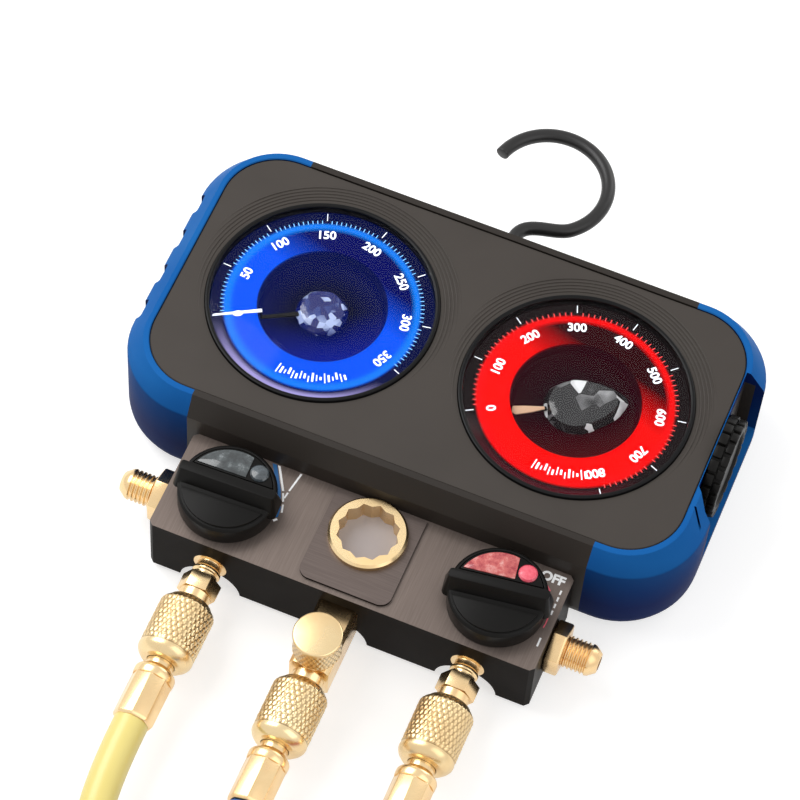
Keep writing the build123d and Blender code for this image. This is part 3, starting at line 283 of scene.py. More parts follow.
def stackRings(bm, rings, steps=14):
    # closed body through rounded rectangles given as (width, height, radius, level)
    faces = [addRing(bm, *ring, steps=steps) for ring in rings]
    loops = [list(face.edges) for face in faces]
    for face in faces[1:-1]:
        bmesh.ops.delete(bm, geom=[face], context="FACES_ONLY")
    for lower, upper in zip(loops, loops[1:]):
        bmesh.ops.bridge_loops(bm, edges=lower + upper)
    bmesh.ops.recalc_face_normals(bm, faces=bm.faces)


def keepSide(bm, point, normal):
    # cuts the body at a plane, drops what the normal points away from, and closes the cut
    geom = list(bm.verts) + list(bm.edges) + list(bm.faces)
    cut = bmesh.ops.bisect_plane(bm, geom=geom, plane_co=point, plane_no=normal, clear_inner=True)
    rim = [item for item in cut["geom_cut"] if isinstance(item, bmesh.types.BMEdge)]
    bmesh.ops.holes_fill(bm, edges=rim, sides=0)


def carve(bm, cutter):
    # takes the cutter's body away from bm
    meshes = []
    for label, body in (("work", bm), ("tool", cutter)):
        bmesh.ops.recalc_face_normals(body, faces=body.faces)
        mesh = bpy.data.meshes.new(label)
        body.to_mesh(mesh)
        meshes.append(mesh)
    cutter.free()
    work, tool = [bpy.data.objects.new(mesh.name, mesh) for mesh in meshes]
    for thing in (work, tool):
        bpy.context.scene.collection.objects.link(thing)
    step = work.modifiers.new("carve", "BOOLEAN")
    step.object = tool
    step.operation = "DIFFERENCE"
    step.solver = "EXACT"
    bpy.context.view_layer.update()
    carved = work.evaluated_get(bpy.context.evaluated_depsgraph_get()).to_mesh()
    bm.clear()
    bm.from_mesh(carved)
    for thing, mesh in zip((work, tool), meshes):
        bpy.data.objects.remove(thing)
        bpy.data.meshes.remove(mesh)


def frameCopy(node, name, material, body, soften, sharp=32):
    # a merged copy of a frame node, with its sharp edges softened
    bm = bmesh.new()
    bm.from_mesh(nodes[node].data)
    bmesh.ops.remove_doubles(bm, verts=bm.verts, dist=mergeGap)
    bmesh.ops.dissolve_limit(bm, angle_limit=radians(0.6), verts=bm.verts, edges=bm.edges)
    roundEdges(bm, sharpEdges(bm, sharp), soften, 2)
    return makePiece(name, bm, material, body, stands=(node,), sharp=sharp, flip=False)


def wordMesh(name, words, size, place, turn, weight=0.0, depth=0.02):
    # flat letters as a bmesh, centred on place in millimetres and turned about Z
    letters = bpy.data.curves.new(name, "FONT")
    letters.body = words
    letters.size = size * mm
    letters.align_x = "CENTER"
    letters.align_y = "CENTER"
    letters.extrude = depth * mm
    letters.offset = weight * mm
    scratch = bpy.data.objects.new(name, letters)
    bpy.context.scene.collection.objects.link(scratch)
    bpy.context.view_layer.update()
    mesh = bpy.data.meshes.new_from_object(scratch.evaluated_get(bpy.context.evaluated_depsgraph_get()))
    bpy.data.objects.remove(scratch)
    bm = bmesh.new()
    bm.from_mesh(mesh)
    bmesh.ops.remove_doubles(bm, verts=bm.verts, dist=0.001 * mm)
    matrix = Matrix.Translation(Vector(place) * mm) @ Matrix.Rotation(radians(turn), 4, "Z")
    bmesh.ops.transform(bm, matrix=matrix, verts=bm.verts)
    return bm


def paint(material, *names):
    # frame nodes that show as they are, with a better finish
    for name in names:
        nodes[name].data.materials.clear()
        nodes[name].data.materials.append(material)


def scaled(colour, share):
    return [channel * share for channel in colour]


def rubberFinish(name, colour, deep, paintedShadeWall):
    recipe = Recipe(name)
    speck = recipe.grain(900, 2, 0.6)
    cloud = recipe.grain(22, 3)
    tint = recipe.blend(recipe.span(cloud, 0.35, 0.7), colour, deep)
    # walls take the darker wall colour as painted shade, as light falls from above
    tint = recipe.blend(recipe.upward(0.0, 0.5), paintedShadeWall, tint)
    return recipe.finish(colour=tint, roughness=recipe.span(cloud, 0.3, 0.7, 0.42, 0.55),
                         normal=recipe.bump(speck, 0.25, 0.05 * mm), specular=0.03)


def brushedFinish(name, colour, stretch, low, high, paintedShadeWall=None, gloss=0.5):
    # bare metal with fine lines along the axis that has the small number in stretch
    # with a wall colour the walls take it as painted shade and are cast, and only the faces that look up are
    # cut and keep the lighter colour as painted sheen
    recipe = Recipe(name)
    lines = recipe.grain(1, 3, 0.6, where=recipe.place(scale=stretch))
    cloud = recipe.grain(40, 3)
    tint = recipe.blend(recipe.span(lines, 0.35, 0.7, 0.0, 0.5), colour, scaled(colour, 1.5))
    metallic = 1.0
    if paintedShadeWall:
        # walls darker as painted shade, tops lighter as painted sheen
        cut = recipe.upward(0.55, 0.9)
        tint = recipe.blend(cut, paintedShadeWall, tint)
        metallic = cut * 0.5
    return recipe.finish(colour=tint, metallic=metallic, specular=gloss,
                         roughness=recipe.span(cloud + lines * 0.5, 0.5, 1.0, low, high),
                         normal=recipe.bump(lines, 0.12, 0.02 * mm))


def mouldedFinish(name, colour, low=0.42, high=0.55, strength=0.35, size=1400, gloss=0.35):
    recipe = Recipe(name)
    speck = recipe.grain(size, 2, 0.6)
    cloud = recipe.grain(30, 4)
    tint = recipe.blend(recipe.span(cloud, 0.3, 0.75, 0.0, 0.35), colour, scaled(colour, 0.6))
    return recipe.finish(colour=tint, roughness=recipe.span(cloud, 0.3, 0.7, low, high), specular=gloss,
                         normal=recipe.bump(speck, strength, 0.03 * mm))


def brassFinish(name, colour, shade, low=0.16, high=0.32, groove=None):
    # a groove colour darkens the hollows of a knurl
    recipe = Recipe(name)
    cloud = recipe.grain(60, 4)
    fine = recipe.grain(700, 2)
    tint = recipe.blend(recipe.span(cloud, 0.35, 0.7), colour, shade)
    if groove:
        hollow = recipe.add("ShaderNodeNewGeometry", out="Pointiness")
        tint = recipe.blend(recipe.span(hollow, 0.44, 0.51), groove, tint)
    return recipe.finish(colour=tint, metallic=1.0, roughness=recipe.span(cloud, 0.3, 0.7, low, high),
                         normal=recipe.bump(fine, 0.08, 0.01 * mm))


def glassFinish(name, tint, strength):
    # clear window: gloss by angle over plain see-through
    recipe = Recipe(name)
    smear = recipe.grain(35, 3)
    gloss = recipe.add("ShaderNodeBsdfGlossy", {}, {"Color": tint, "Roughness": 0.03})
    clear = recipe.add("ShaderNodeBsdfTransparent", {}, {"Color": (1, 1, 1)})
    facing = recipe.add("ShaderNodeFresnel", {}, {"IOR": 1.45})
    share = facing * recipe.span(smear, 0.3, 0.7, strength * 0.9, strength)
    return recipe.surface(recipe.add("ShaderNodeMixShader", {}, {0: share, 1: clear, 2: gloss}))


def glowFinish(name, colour, strength):
    recipe = Recipe(name)
    tint = recipe.blend(recipe.span(recipe.grain(200, 2), 0.3, 0.7), colour, scaled(colour, 0.88))
    return recipe.finish(colour=colour, roughness=0.5, glow=tint, glowStrength=strength)


def insertFinish(name, base, warm, bright):
    # glossy inlay with a marbled shine; its slight glow is painted light
    recipe = Recipe(name)
    swirl = recipe.grain(260, 4, 0.7)
    stops = [(0.0, scaled(base, 0.25)), (0.4, base), (0.55, warm), (0.75, bright)]
    tint = recipe.add("ShaderNodeValToRGB", {"stops": stops}, {0: swirl})
    return recipe.finish(colour=tint, roughness=recipe.span(swirl, 0.3, 0.7, 0.12, 0.3), coat=0.5, glow=tint,
                         glowStrength=0.08)


platePlastic = mouldedFinish("platePlastic", linear(70, 65, 61), 0.42, 0.56, 0.3, 1600, gloss=0.15)
shellPlastic = mouldedFinish("shellPlastic", linear(46, 41, 37), 0.38, 0.5, gloss=0.2)
blackPlastic = mouldedFinish("blackPlastic", linear(30, 30, 31), 0.36, 0.5)
knobPlastic = mouldedFinish("knobPlastic", linear(19, 18, 17), 0.34, 0.46, 0.3, 1500, gloss=0.12)
bezelGloss = mouldedFinish("bezelGloss", linear(12, 12, 13), 0.3, 0.4, 0.05, gloss=0.15)
hookCoat = mouldedFinish("hookCoat", linear(34, 33, 33), 0.3, 0.42, 0.2, 500)
# the walls of the bumper, block and centre plate are darker as painted shade; the lighter tops of the block and
# plate are painted sheen
bumperRubber = rubberFinish("bumperRubber", linear(30, 102, 172), linear(22, 90, 162), linear(6, 30, 84))
blockCoat = brushedFinish("blockCoat", linear(112, 101, 95), (2600, 60, 2600), 0.34, 0.5,
                          paintedShadeWall=linear(22, 18, 15), gloss=0.03)
blockTopCoat = brushedFinish("blockTopCoat", linear(98, 88, 84), (60, 2600, 2600), 0.34, 0.5,
                             paintedShadeWall=linear(40, 34, 31), gloss=0.03)
steel = brushedFinish("steel", linear(190, 190, 190), (900, 900, 60), 0.25, 0.4)
brass = brassFinish("brass", linear(240, 212, 164), linear(226, 190, 140))
paleBrass = brassFinish("paleBrass", linear(240, 214, 168), linear(230, 196, 142), 0.2, 0.34)
knurlBrass = brassFinish("knurlBrass", linear(234, 210, 164), linear(216, 184, 134), 0.22, 0.36,
                         groove=linear(110, 76, 38))
whiteInk = glowFinish("whiteInk", linear(240, 246, 255), 0.9)
# the block's print inks glow a little: painted light
printInk = glowFinish("printInk", linear(232, 232, 232), 0.15)
blueInk = glowFinish("blueInk", linear(24, 92, 150), 0.1)
redInk = glowFinish("redInk", linear(224, 96, 112), 0.1)
clearLens = glassFinish("clearLens", (1, 1, 1), 0.12)
# the sight pane's glow is painted light, standing in for light through the glass
sightPanePaintedGlow = glowFinish("sightPanePaintedGlow", linear(150, 142, 141), 0.3)
lightGuide = {"low": glowFinish("lowLightGuide", linear(60, 150, 255), 0.5),
              "high": glowFinish("highLightGuide", linear(255, 40, 40), 0.5)}
print("finishes made")


hoseLook = {
    "radiusMm": 6.0, "restMm": 6.15, "plyMm": 13.0,
    "coilXMm": 73.5, "coilYMm": -290.0, "laneMm": 13.5, "innerMm": 60.0, "stepsPerTurn": 16,
    "climbBefore": 10, "climbRun": 30,  # degrees ahead of a layer's start, and the whole climb
    "nutRadiusMm": 9.75, "nutClearMm": 0.3, "endReachMm": 47.8,
}
nearRoutes = {
    "low": [(-46.5, -158.3, 15), (-46.5, -180, 15), (-41.5, -205, 12.2), (-28, -228.5, 7.9),
            (-16.8, -252, 6.15), (-13.5, -271, 6.15), (-13.5, -290, 6.15)],
    "service": [(0, -171.8, 15), (0, -188.5, 15), (0.9, -206, 11.4), (1.3, -225, 7.2),
                (0.7, -247, 6.15), (0, -269, 6.15), (0, -290, 6.15)],
    "high": [(46.5, -158.3, 15), (46.5, -173.5, 15), (45.4, -189, 10.7), (41.2, -206, 6.4),
             (31.5, -227, 6.15), (19.5, -247, 6.15), (13.5, -268.5, 6.15), (13.5, -290, 6.15)],
}
# lane number counted inwards, and where each hose's coil ends, in degrees from +X
coilEnds = {"low": (2, 640), "service": (1, 730), "high": (0, 842)}
layerStarts = (180, 427, 767)


def coilSpot(side, angle, level):
    # a point on a hose's lane round the coil, in millimetres
    radius = hoseLook["innerMm"] + coilEnds[side][0] * hoseLook["laneMm"]
    return (hoseLook["coilXMm"] + radius * cos(radians(angle)),
            hoseLook["coilYMm"] + radius * sin(radians(angle)), level)


def coilTurns(side):
    # the coil's turns from where the near run meets the lane, climbing at each new layer
    end = coilEnds[side][1]
    step = 360 / hoseLook["stepsPerTurn"]
    turns = [layerStarts[0] + step * count for count in range(1, int((end - layerStarts[0]) / step) + 1)]
    if end - turns[-1] < step / 2:
        turns.pop()
    points = []
    for angle in turns + [end]:
        climb = sum(min(1, max(0, (angle - start + hoseLook["climbBefore"]) / hoseLook["climbRun"]))
                    for start in layerStarts[1:])
        points.append(coilSpot(side, angle, hoseLook["restMm"] + climb * hoseLook["plyMm"]))
    return points


def farPlace(side):
    # where the far ferrule starts, in millimetres, and the way it points
    end = coilEnds[side][1]
    layers = sum(end > start for start in layerStarts)
    level = (layers - 1) * hoseLook["plyMm"] + hoseLook["nutRadiusMm"] + hoseLook["nutClearMm"]
    return Vector(coilSpot(side, end, level)), Vector((-sin(radians(end)), cos(radians(end)), 0))


def hoseFinish(name, colour, deep):
    recipe = Recipe(name)
    cloud = recipe.grain(18, 4)
    fine = recipe.grain(420, 2)
    tint = recipe.blend(recipe.span(cloud, 0.3, 0.7), colour, deep)
    return recipe.finish(colour=tint, roughness=recipe.span(cloud, 0.3, 0.7, 0.3, 0.44),
                         normal=recipe.bump(fine, 0.06, 0.03 * mm), coat=0.15)


def hoseCurve(name, spots, finish):
    # one round tube through the spots
    curve = bpy.data.curves.new(name, "CURVE")
    curve.dimensions = "3D"
    curve.bevel_depth = hoseLook["radiusMm"] * mm
    curve.bevel_resolution = 8
    curve.resolution_u = 12
    curve.use_fill_caps = True
    spline = curve.splines.new("NURBS")
    spline.points.add(len(spots) - 1)
    for point, spot in zip(spline.points, spots):
        point.co = (*[value * mm for value in spot], 1)
    spline.order_u = 3
    spline.use_endpoint_u = True
    curve.materials.append(finish)
    hose = bpy.data.objects.new(name, curve)
    bpy.context.scene.collection.objects.link(hose)
    return hose


hoseFinishes = {
    "low": hoseFinish("hoseYellow", linear(240, 223, 138), linear(236, 216, 122)),
    "service": hoseFinish("hoseBlue", linear(28, 96, 190), linear(22, 84, 172)),
    "high": hoseFinish("hoseRed", linear(196, 34, 36), linear(178, 26, 30)),
}
for side, route in nearRoutes.items():
    end, heading = farPlace(side)
    spots = route + coilTurns(side)
    # the last turn lifts into the far ferrule
    spots[-1] = tuple(Vector(spots[-1]).lerp(end, 0.5) - heading * 2)
    hose = hoseCurve(side + "Hose", spots + [tuple(end)], hoseFinishes[side])
    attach(hose, "head")
    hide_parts(side + "_hose_tube", side + "_hose_coil")
print("hoses laid")


headLook = {
    "length": 208.0, "width": 113.0, "corner": 28.0, "widest": 36.0, "top": 44.0,
    "rimLength": 195.8, "rimWidth": 104.0, "rimCorner": 22.0, "backRadius": 8.0, "backSteps": 6,
    "coreLength": 201.0, "coreWidth": 106.5, "coreCorner": 24.5, "seam": 72.0, "lip": 38.0, "backDepth": 3.0,
    "plateLength": 191.5, "plateWidth": 99.0, "plateCorner": 20.0, "plateSeat": 42.0, "plateTop": 43.6,
    "plateEdge": 0.3, "plateGap": 0.25, "fold": 0.02,
}
gripLook = {"pitch": 15.8, "width": 8.1, "depth": 1.7, "count": 4, "foot": 9.0, "round": 1.1, "reach": 40.0}
pocketLook = {
    "low": (96.3, -23.0, 11.0), "high": (150.0, 32.0, 36.5), "round": 1.0,
    # the V-shaped mouth over the pocket, and the slit that runs on from its point
    "mouth": ((96.3, 32.0), (96.3, -16.4), (101.2, -22.4), (106.0, -24.6), (150.0, -24.6), (150.0, 32.0)),
    "slits": (((97.4, -24.4), (98.2, -24.0), (102.4, -28.6), (101.9, -29.4)),
              ((101.9, -29.4), (102.4, -28.6), (106.0, -33.4), (106.0, -35.0))),
    "mouthFloor": 34.0, "slitFloor": 38.5, "above": 90.0,
}
gaugeX = 46.5


def headBody(bm):
    # the whole rim as a tray: up the outside, over the lip, and down the inside
    look = headLook
    fold = look["fold"]
    rings = []
    for step in range(look["backSteps"] + 1):
        turn = step / look["backSteps"] * pi / 2
        inset = look["backRadius"] * (1 - sin(turn))
        rings.append((look["length"] - 2 * inset, look["width"] - 2 * inset, look["corner"] - inset,
                      look["backRadius"] * (1 - cos(turn))))
    for share, soft in ((0.0, 0.35), (0.07, 0.0), (0.9, 0.0), (1.0, 0.07)):
        rings.append((look["length"] - (look["length"] - look["rimLength"]) * share,
                      look["width"] - (look["width"] - look["rimWidth"]) * share,
                      look["corner"] - (look["corner"] - look["rimCorner"]) * share,
                      look["widest"] + (look["top"] - look["widest"]) * share - soft))
    plate = (look["plateLength"], look["plateWidth"], look["plateCorner"])
    hole = (plate[0] + 2 * look["plateGap"], plate[1] + 2 * look["plateGap"], plate[2] + look["plateGap"])
    core = (look["coreLength"], look["coreWidth"], look["coreCorner"])
    rings += [(look["rimLength"] - 0.8, look["rimWidth"] - 0.8, look["rimCorner"] - 0.4, look["top"]),
              (hole[0] + 0.6, hole[1] + 0.6, hole[2] + 0.3, look["top"] - fold),
              (*hole, look["top"] - 0.4), (*hole, look["plateSeat"] + fold), (*plate, look["plateSeat"]),
              (*plate, look["lip"] + fold), (*core, look["lip"]), (*core, look["backDepth"])]
    stackRings(bm, rings, 16)


def bumperStart(end):
    # the part of the rim beyond the seam at one end
    bm = bmesh.new()
    headBody(bm)
    keepSide(bm, (end * headLook["seam"] * mm, 0, 0), (end, 0, 0))
    return bm


def cutPrism(bm, corners, low):
    cutter = bmesh.new()
    prism(cutter, corners, low, pocketLook["above"])
    carve(bm, cutter)


bm = bumperStart(-1)
for grip in range(gripLook["count"]):
    middle = (grip - (gripLook["count"] - 1) / 2) * gripLook["pitch"]
    face = -headLook["length"] / 2 + gripLook["depth"]
    carve(bm, roundedBox((face - gripLook["reach"], middle - gripLook["width"] / 2, gripLook["foot"]),
                         (face, middle + gripLook["width"] / 2, 2 * gripLook["reach"]), gripLook["round"]))
makePiece("leftBumper", bm, bumperRubber, "head", stands=("left_bumper",), sharp=28)

bm = bumperStart(1)
carve(bm, roundedBox(pocketLook["low"], pocketLook["high"], pocketLook["round"]))
cutPrism(bm, pocketLook["mouth"], pocketLook["mouthFloor"])
for slit in pocketLook["slits"]:
    cutPrism(bm, slit, pocketLook["slitFloor"])
makePiece("rightBumper", bm, bumperRubber, "head", stands=("right_bumper",), sharp=28)

paint(shellPlastic, "front_cover", "rear_housing")

ridgeLook = {
    "firstRadius": 42.05, "pitch": 1.3, "height": 0.32, "halfWidth": 0.42, "sink": 0.1, "fade": 30,
    "degreesPerStep": 2.5,
    # where each ridge starts and how far it runs, in degrees
    "runs": ((-35, 250), (-22, 224), (-10, 200), (0, 180), (10, 160)),
}
gaugeHole = 40.45


def plateBody(bm):
    look = headLook
    edge = look["plateEdge"]
    size = (look["plateLength"], look["plateWidth"], look["plateCorner"])
    small = (size[0] - 2 * edge, size[1] - 2 * edge, size[2] - edge)
    stackRings(bm, [(*size, look["plateSeat"]), (*size, look["plateTop"] - edge), (*small, look["plateTop"])])
    for across in (-gaugeX, gaugeX):
        cutter = drum(gaugeHole, look["plateTop"] - 10, look["plateTop"] + 10, 160)
        bmesh.ops.translate(cutter, verts=cutter.verts, vec=(across * mm, 0, 0))
        carve(bm, cutter)


def ridgeArc(bm, centre, radius, start, run):
    # a half-round rib swept about the dial, thinning out at both ends
    look = ridgeLook
    half, sink = look["halfWidth"], look["sink"]
    low = headLook["plateTop"] - sink
    section = [(-half, 0), (-half * 0.6, look["height"] * 0.75 + sink), (0, look["height"] + sink),
               (half * 0.6, look["height"] * 0.75 + sink), (half, 0)]
    verts = [bm.verts.new(((radius + across) * mm, 0, (low + up) * mm)) for across, up in section]
    face = bm.faces.new(verts)
    before = set(bm.verts) - set(verts)
    bmesh.ops.rotate(bm, verts=verts, cent=(0, 0, 0), matrix=Matrix.Rotation(radians(start), 3, "Z"))
    bmesh.ops.spin(bm, geom=[face] + list(face.edges) + verts, cent=(0, 0, 0), axis=(0, 0, 1),
                   angle=radians(run), steps=int(run / look["degreesPerStep"]), use_merge=False)
    fresh = [vert for vert in bm.verts if vert not in before]
    for vert in fresh:
        turn = (degrees(atan2(vert.co.y, vert.co.x)) - start) % 360
        share = min(1, turn / look["fade"], (run - turn) / look["fade"]) if turn <= run else 0
        vert.co.z = low * mm + (vert.co.z - low * mm) * max(0.05, share)
    bmesh.ops.translate(bm, verts=fresh, vec=(centre * mm, 0, 0))


bm = bmesh.new()
plateBody(bm)
for across in (-gaugeX, gaugeX):
    for count, (start, run) in enumerate(ridgeLook["runs"]):
        ridgeArc(bm, across, ridgeLook["firstRadius"] + count * ridgeLook["pitch"], start, run)
makePiece("facePlate", bm, platePlastic, "head", stands=("face_plate",), sharp=28)
print("head dressed")


dialLook = {
    "hole": 3.4, "outer": 38.5, "under": 32.6, "ring": 41.0, "ringInner": 22.6, "core": 18.0, "coreTop": 33.6,
    "tickInner": 35.0, "tickOuter": 37.9, "minorInner": 33.6, "minorOuter": 35.0, "tickWidth": 0.3,
    "numberRadius": 28.9, "numberSize": 4.5, "zero": 210.0, "step": 33.3,
    # the row of bars at the foot of the ring, its start and pitch in degrees
    "barInner": 27.2, "barOuter": 31.0, "barStart": 262, "barPitch": 2.7,
    "low": {"x": -gaugeX, "numbers": range(0, 351, 50), "minors": 12, "bars": 18},
    "high": {"x": gaugeX, "numbers": range(0, 801, 100), "minors": 10, "bars": 14},
}
# the ring's shade and lit tones are painted shade and light, the core's edge and low tones are painted light,
# and the shine tone is a painted sheen
dialTones = {
    "low": {"shade": linear(0, 8, 96), "lit": linear(0, 88, 255), "core": linear(0, 2, 24),
            "coreLitEdge": linear(0, 12, 84), "coreLitLow": linear(0, 24, 150), "glow": linear(20, 130, 250),
            "rim": linear(2, 10, 66), "paintedSheen": linear(190, 180, 250), "strength": 0.68},
    "high": {"shade": linear(44, 0, 6), "lit": linear(255, 0, 0), "core": linear(22, 0, 8),
             "coreLitEdge": linear(40, 0, 10), "coreLitLow": linear(70, 0, 8), "glow": linear(255, 4, 8),
             "rim": linear(24, 16, 18), "paintedSheen": linear(90, 20, 34), "strength": 0.72},
}


def dialFinish(name, centre, tones):
    # rings of lit print about the dial's middle, in millimetres from it, with painted shade, painted light and
    # a painted sheen laid over them
    recipe = Recipe(name)
    across, along = recipe.axes(recipe.place(centre=(centre * mm, 0, 0)))[:2]
    reach = across.maths("SQRT", across * across + along * along) * 1000
    # the ring darker towards its upper side: painted shade
    paintedShadeSide = recipe.span((across * 0.3 + along * 1.1) * -1000, -23, -6)
    ring = recipe.blend(paintedShadeSide, tones["shade"], tones["lit"])
    # the core lighter towards its edge and its lower side: painted light
    inner = recipe.blend(recipe.span(reach, 8, 22), tones["core"], tones["coreLitEdge"])
    inner = recipe.blend(recipe.span((across * 0.6 - along) * 1000, 0, 24), inner, tones["coreLitLow"])
    face = recipe.blend(recipe.span(reach, 22.3, 22.6), inner, ring)
    glow = recipe.span(reach, 30.4, 32.2) * recipe.span(reach, 33.2, 34.2, 1.0, 0.0)
    face = recipe.blend(glow, face, tones["glow"])
    face = recipe.blend(recipe.span(reach, 33.5, 34.5), face, tones["rim"])
    # a pale band on the outer ring near the foot: painted sheen
    paintedSheen = recipe.span(reach, 34.6, 36.2) * recipe.span(reach, 37.2, 38.2, 1.0, 0.0)
    low = recipe.span(along * -1000, 20, 34)
    face = recipe.blend(paintedSheen * low * 0.8, face, tones["paintedSheen"])
    return recipe.finish(colour=recipe.blend(0.7, face, (0, 0, 0)), specular=0.03, glow=face,
                         roughness=recipe.span(recipe.grain(300, 2), 0.3, 0.7, 0.3, 0.4),
                         glowStrength=tones["strength"])


def radialBar(bm, centre, angle, inner, outer, width, high):
    # a small bar on the ring that points away from the dial's middle
    low = dialLook["ring"]
    made = bmesh.ops.create_cube(bm, size=1)["verts"]
    bmesh.ops.scale(bm, verts=made, vec=((outer - inner) * mm, width * mm, high * mm))
    bmesh.ops.translate(bm, verts=made, vec=((inner + outer) / 2 * mm, 0, (low + high / 2) * mm))
    bmesh.ops.rotate(bm, verts=made, cent=(0, 0, 0), matrix=Matrix.Rotation(radians(angle), 3, "Z"))
    bmesh.ops.translate(bm, verts=made, vec=(centre * mm, 0, 0))


def dialPlate(side):
    # a raised lit ring round a sunk middle
    look = dialLook
    ring, inner, core, sunk = look["ring"], look["ringInner"], look["core"], look["coreTop"]
    bm = bmesh.new()
    lathe(bm, [(look["hole"], look["under"]), (look["outer"], look["under"]), (look["outer"], ring),
               (inner, ring), (inner - 0.2, ring - 0.2), (inner - 0.6, ring - 5.0), (core + 2.6, sunk + 0.6),
               (core, sunk), (look["hole"], sunk)], (look[side]["x"], 0, 0), steps=128)
    makePiece(side + "Dial", bm, dialFinish(side + "DialPrint", look[side]["x"], dialTones[side]), "head",
              stands=(side + "_dial",))


def dialMarks(side):
    # ticks, numbers and the row of bars, printed on the ring
    look, own = dialLook, dialLook[side]
    x, reach, slot = own["x"], look["numberRadius"], side + "_dial_face"
    majors, minors, letters = bmesh.new(), bmesh.new(), bmesh.new()
    for count, number in enumerate(own["numbers"]):
        angle = look["zero"] - count * look["step"]
        radialBar(majors, x, angle, look["tickInner"], look["tickOuter"], look["tickWidth"], 0.06)
        parts = own["minors"] if count < len(own["numbers"]) - 1 else 1  # nothing follows the last number
        for step in range(1, parts):
            radialBar(minors, x, angle - step * look["step"] / own["minors"], look["minorInner"],
                      look["minorOuter"], look["tickWidth"], 0.04)
        place = (x + reach * cos(radians(angle)), reach * sin(radians(angle)), look["ring"] + 0.03)
        absorb(letters, wordMesh("number", str(number), look["numberSize"], place, angle - 90, weight=0.1))
    for bar in range(own["bars"]):
        radialBar(letters, x, look["barStart"] + bar * look["barPitch"], look["barInner"] + bar % 3 * 0.7,
                  look["barOuter"] - bar % 4 * 0.4, 0.4 + bar % 2 * 0.3, 0.05)
    makePiece(side + "Majors", majors, whiteInk, "head")
    makePiece(side + "Minors", minors, tickInks[side], "head")
    makePiece(side + "Numbers", letters, whiteInk, "head")


tickInks = {"low": glowFinish("lowTickInk", linear(120, 190, 255), 0.6),
            "high": glowFinish("highTickInk", linear(255, 70, 70), 0.6)}
for side in ("low", "high"):
    dialPlate(side)
    dialMarks(side)


hubLook = {
    "foot": 35.4, "crumple": 0.35, "crumpleScale": 260, "eggTurn": 33, "arborTop": 35.2,
    "low": {"radius": 9.2, "top": 39.0, "egg": 0.0},
    "high": {"radius": 10.6, "top": 39.6, "egg": 8.0},
}
needleLook = {
    "tip": 37.7, "crank": 21.4, "straight": 21.0, "armStart": 7.0, "overlap": 0.6,
    "armLow": 36.9, "armHigh": 37.5, "tipLow": 41.3, "tipHigh": 41.7, "bladeThick": 0.5,
    "blade": ((10.5, -0.5), (17.0, -1.5), (21.2, -1.9), (21.9, 0.4), (20.5, 1.5), (15.0, 1.2), (10.5, 0.5)),
}
bezelLook = {"seat": 42.0, "top": 44.6, "inner": 38.6, "outer": 40.2, "lens": 39.3, "lensTop": 43.5}


def crystalFinish(name, centre, scale, dark, paleGlint, bright):
    # crumpled clear boss: dark panes with pale and bright facets that are painted reflections, and a slight
    # glow that is painted light
    recipe = Recipe(name)
    spot = recipe.place(centre=(centre * mm, 0, 36 * mm))
    bend = recipe.grain(120, 2, 0.5, where=spot)
    cells = recipe.add("ShaderNodeTexVoronoi", {"feature": "F1"},
                       {"Vector": spot, "Scale": scale, "Randomness": 1.0}, out="Color")
    shade = recipe.add("ShaderNodeSeparateColor", {}, {0: cells}) * 0.62 + bend * 0.38
    stops = [(0.0, dark), (0.5, dark), (0.6, paleGlint), (0.76, bright)]
    tint = recipe.add("ShaderNodeValToRGB", {"stops": stops}, {0: shade})
    return recipe.finish(colour=tint, roughness=recipe.span(bend, 0.3, 0.7, 0.08, 0.25), glow=tint,
                         glowStrength=0.15, coat=0.2, normal=recipe.bump(shade, 0.8, 0.8 * mm))


def hubBoss(side):
    # crumpled boss on the needle's arbor, drawn out to one side on the high gauge
    x, foot, own = dialLook[side]["x"], hubLook["foot"], hubLook[side]
    radius, top = own["radius"], own["top"]
    bm = bmesh.new()
    lathe(bm, [(0, foot), (radius - 0.5, foot), (radius, foot + 0.5), (radius - 0.2, foot + 1.2),
               (radius - 1.6, top - 0.6), (radius - 4, top - 0.1), (0, top)], (x, 0, 0), steps=28,
          close=False)
    wide = [edge for edge in bm.edges if edge.calc_length() > 2 * mm]
    bmesh.ops.subdivide_edges(bm, edges=wide, cuts=2, use_grid_fill=True)
    away = Vector((cos(radians(hubLook["eggTurn"])), sin(radians(hubLook["eggTurn"])), 0))
    for vert in bm.verts:
        if vert.co.z > (foot + 0.4) * mm:
            vert.co += noise.noise_vector(vert.co * hubLook["crumpleScale"]) * hubLook["crumple"] * mm
        far = max(0.0, (vert.co - Vector((x * mm, 0, 0))).dot(away)) / (radius * mm)
        vert.co += away * own["egg"] * far ** 2 * mm
    makePiece(side + "Hub", bm, hubFinishes[side], side + "_needle",
              stands=(side + "_needle",), sharp=18)


def taperBar(bm, start, end, startHalf, endHalf, low, high):
    # a flat bar along X, given its half width at both ends
    prism(bm, [(start, -startHalf), (end, -endHalf), (end, endHalf), (start, startHalf)], low, high)


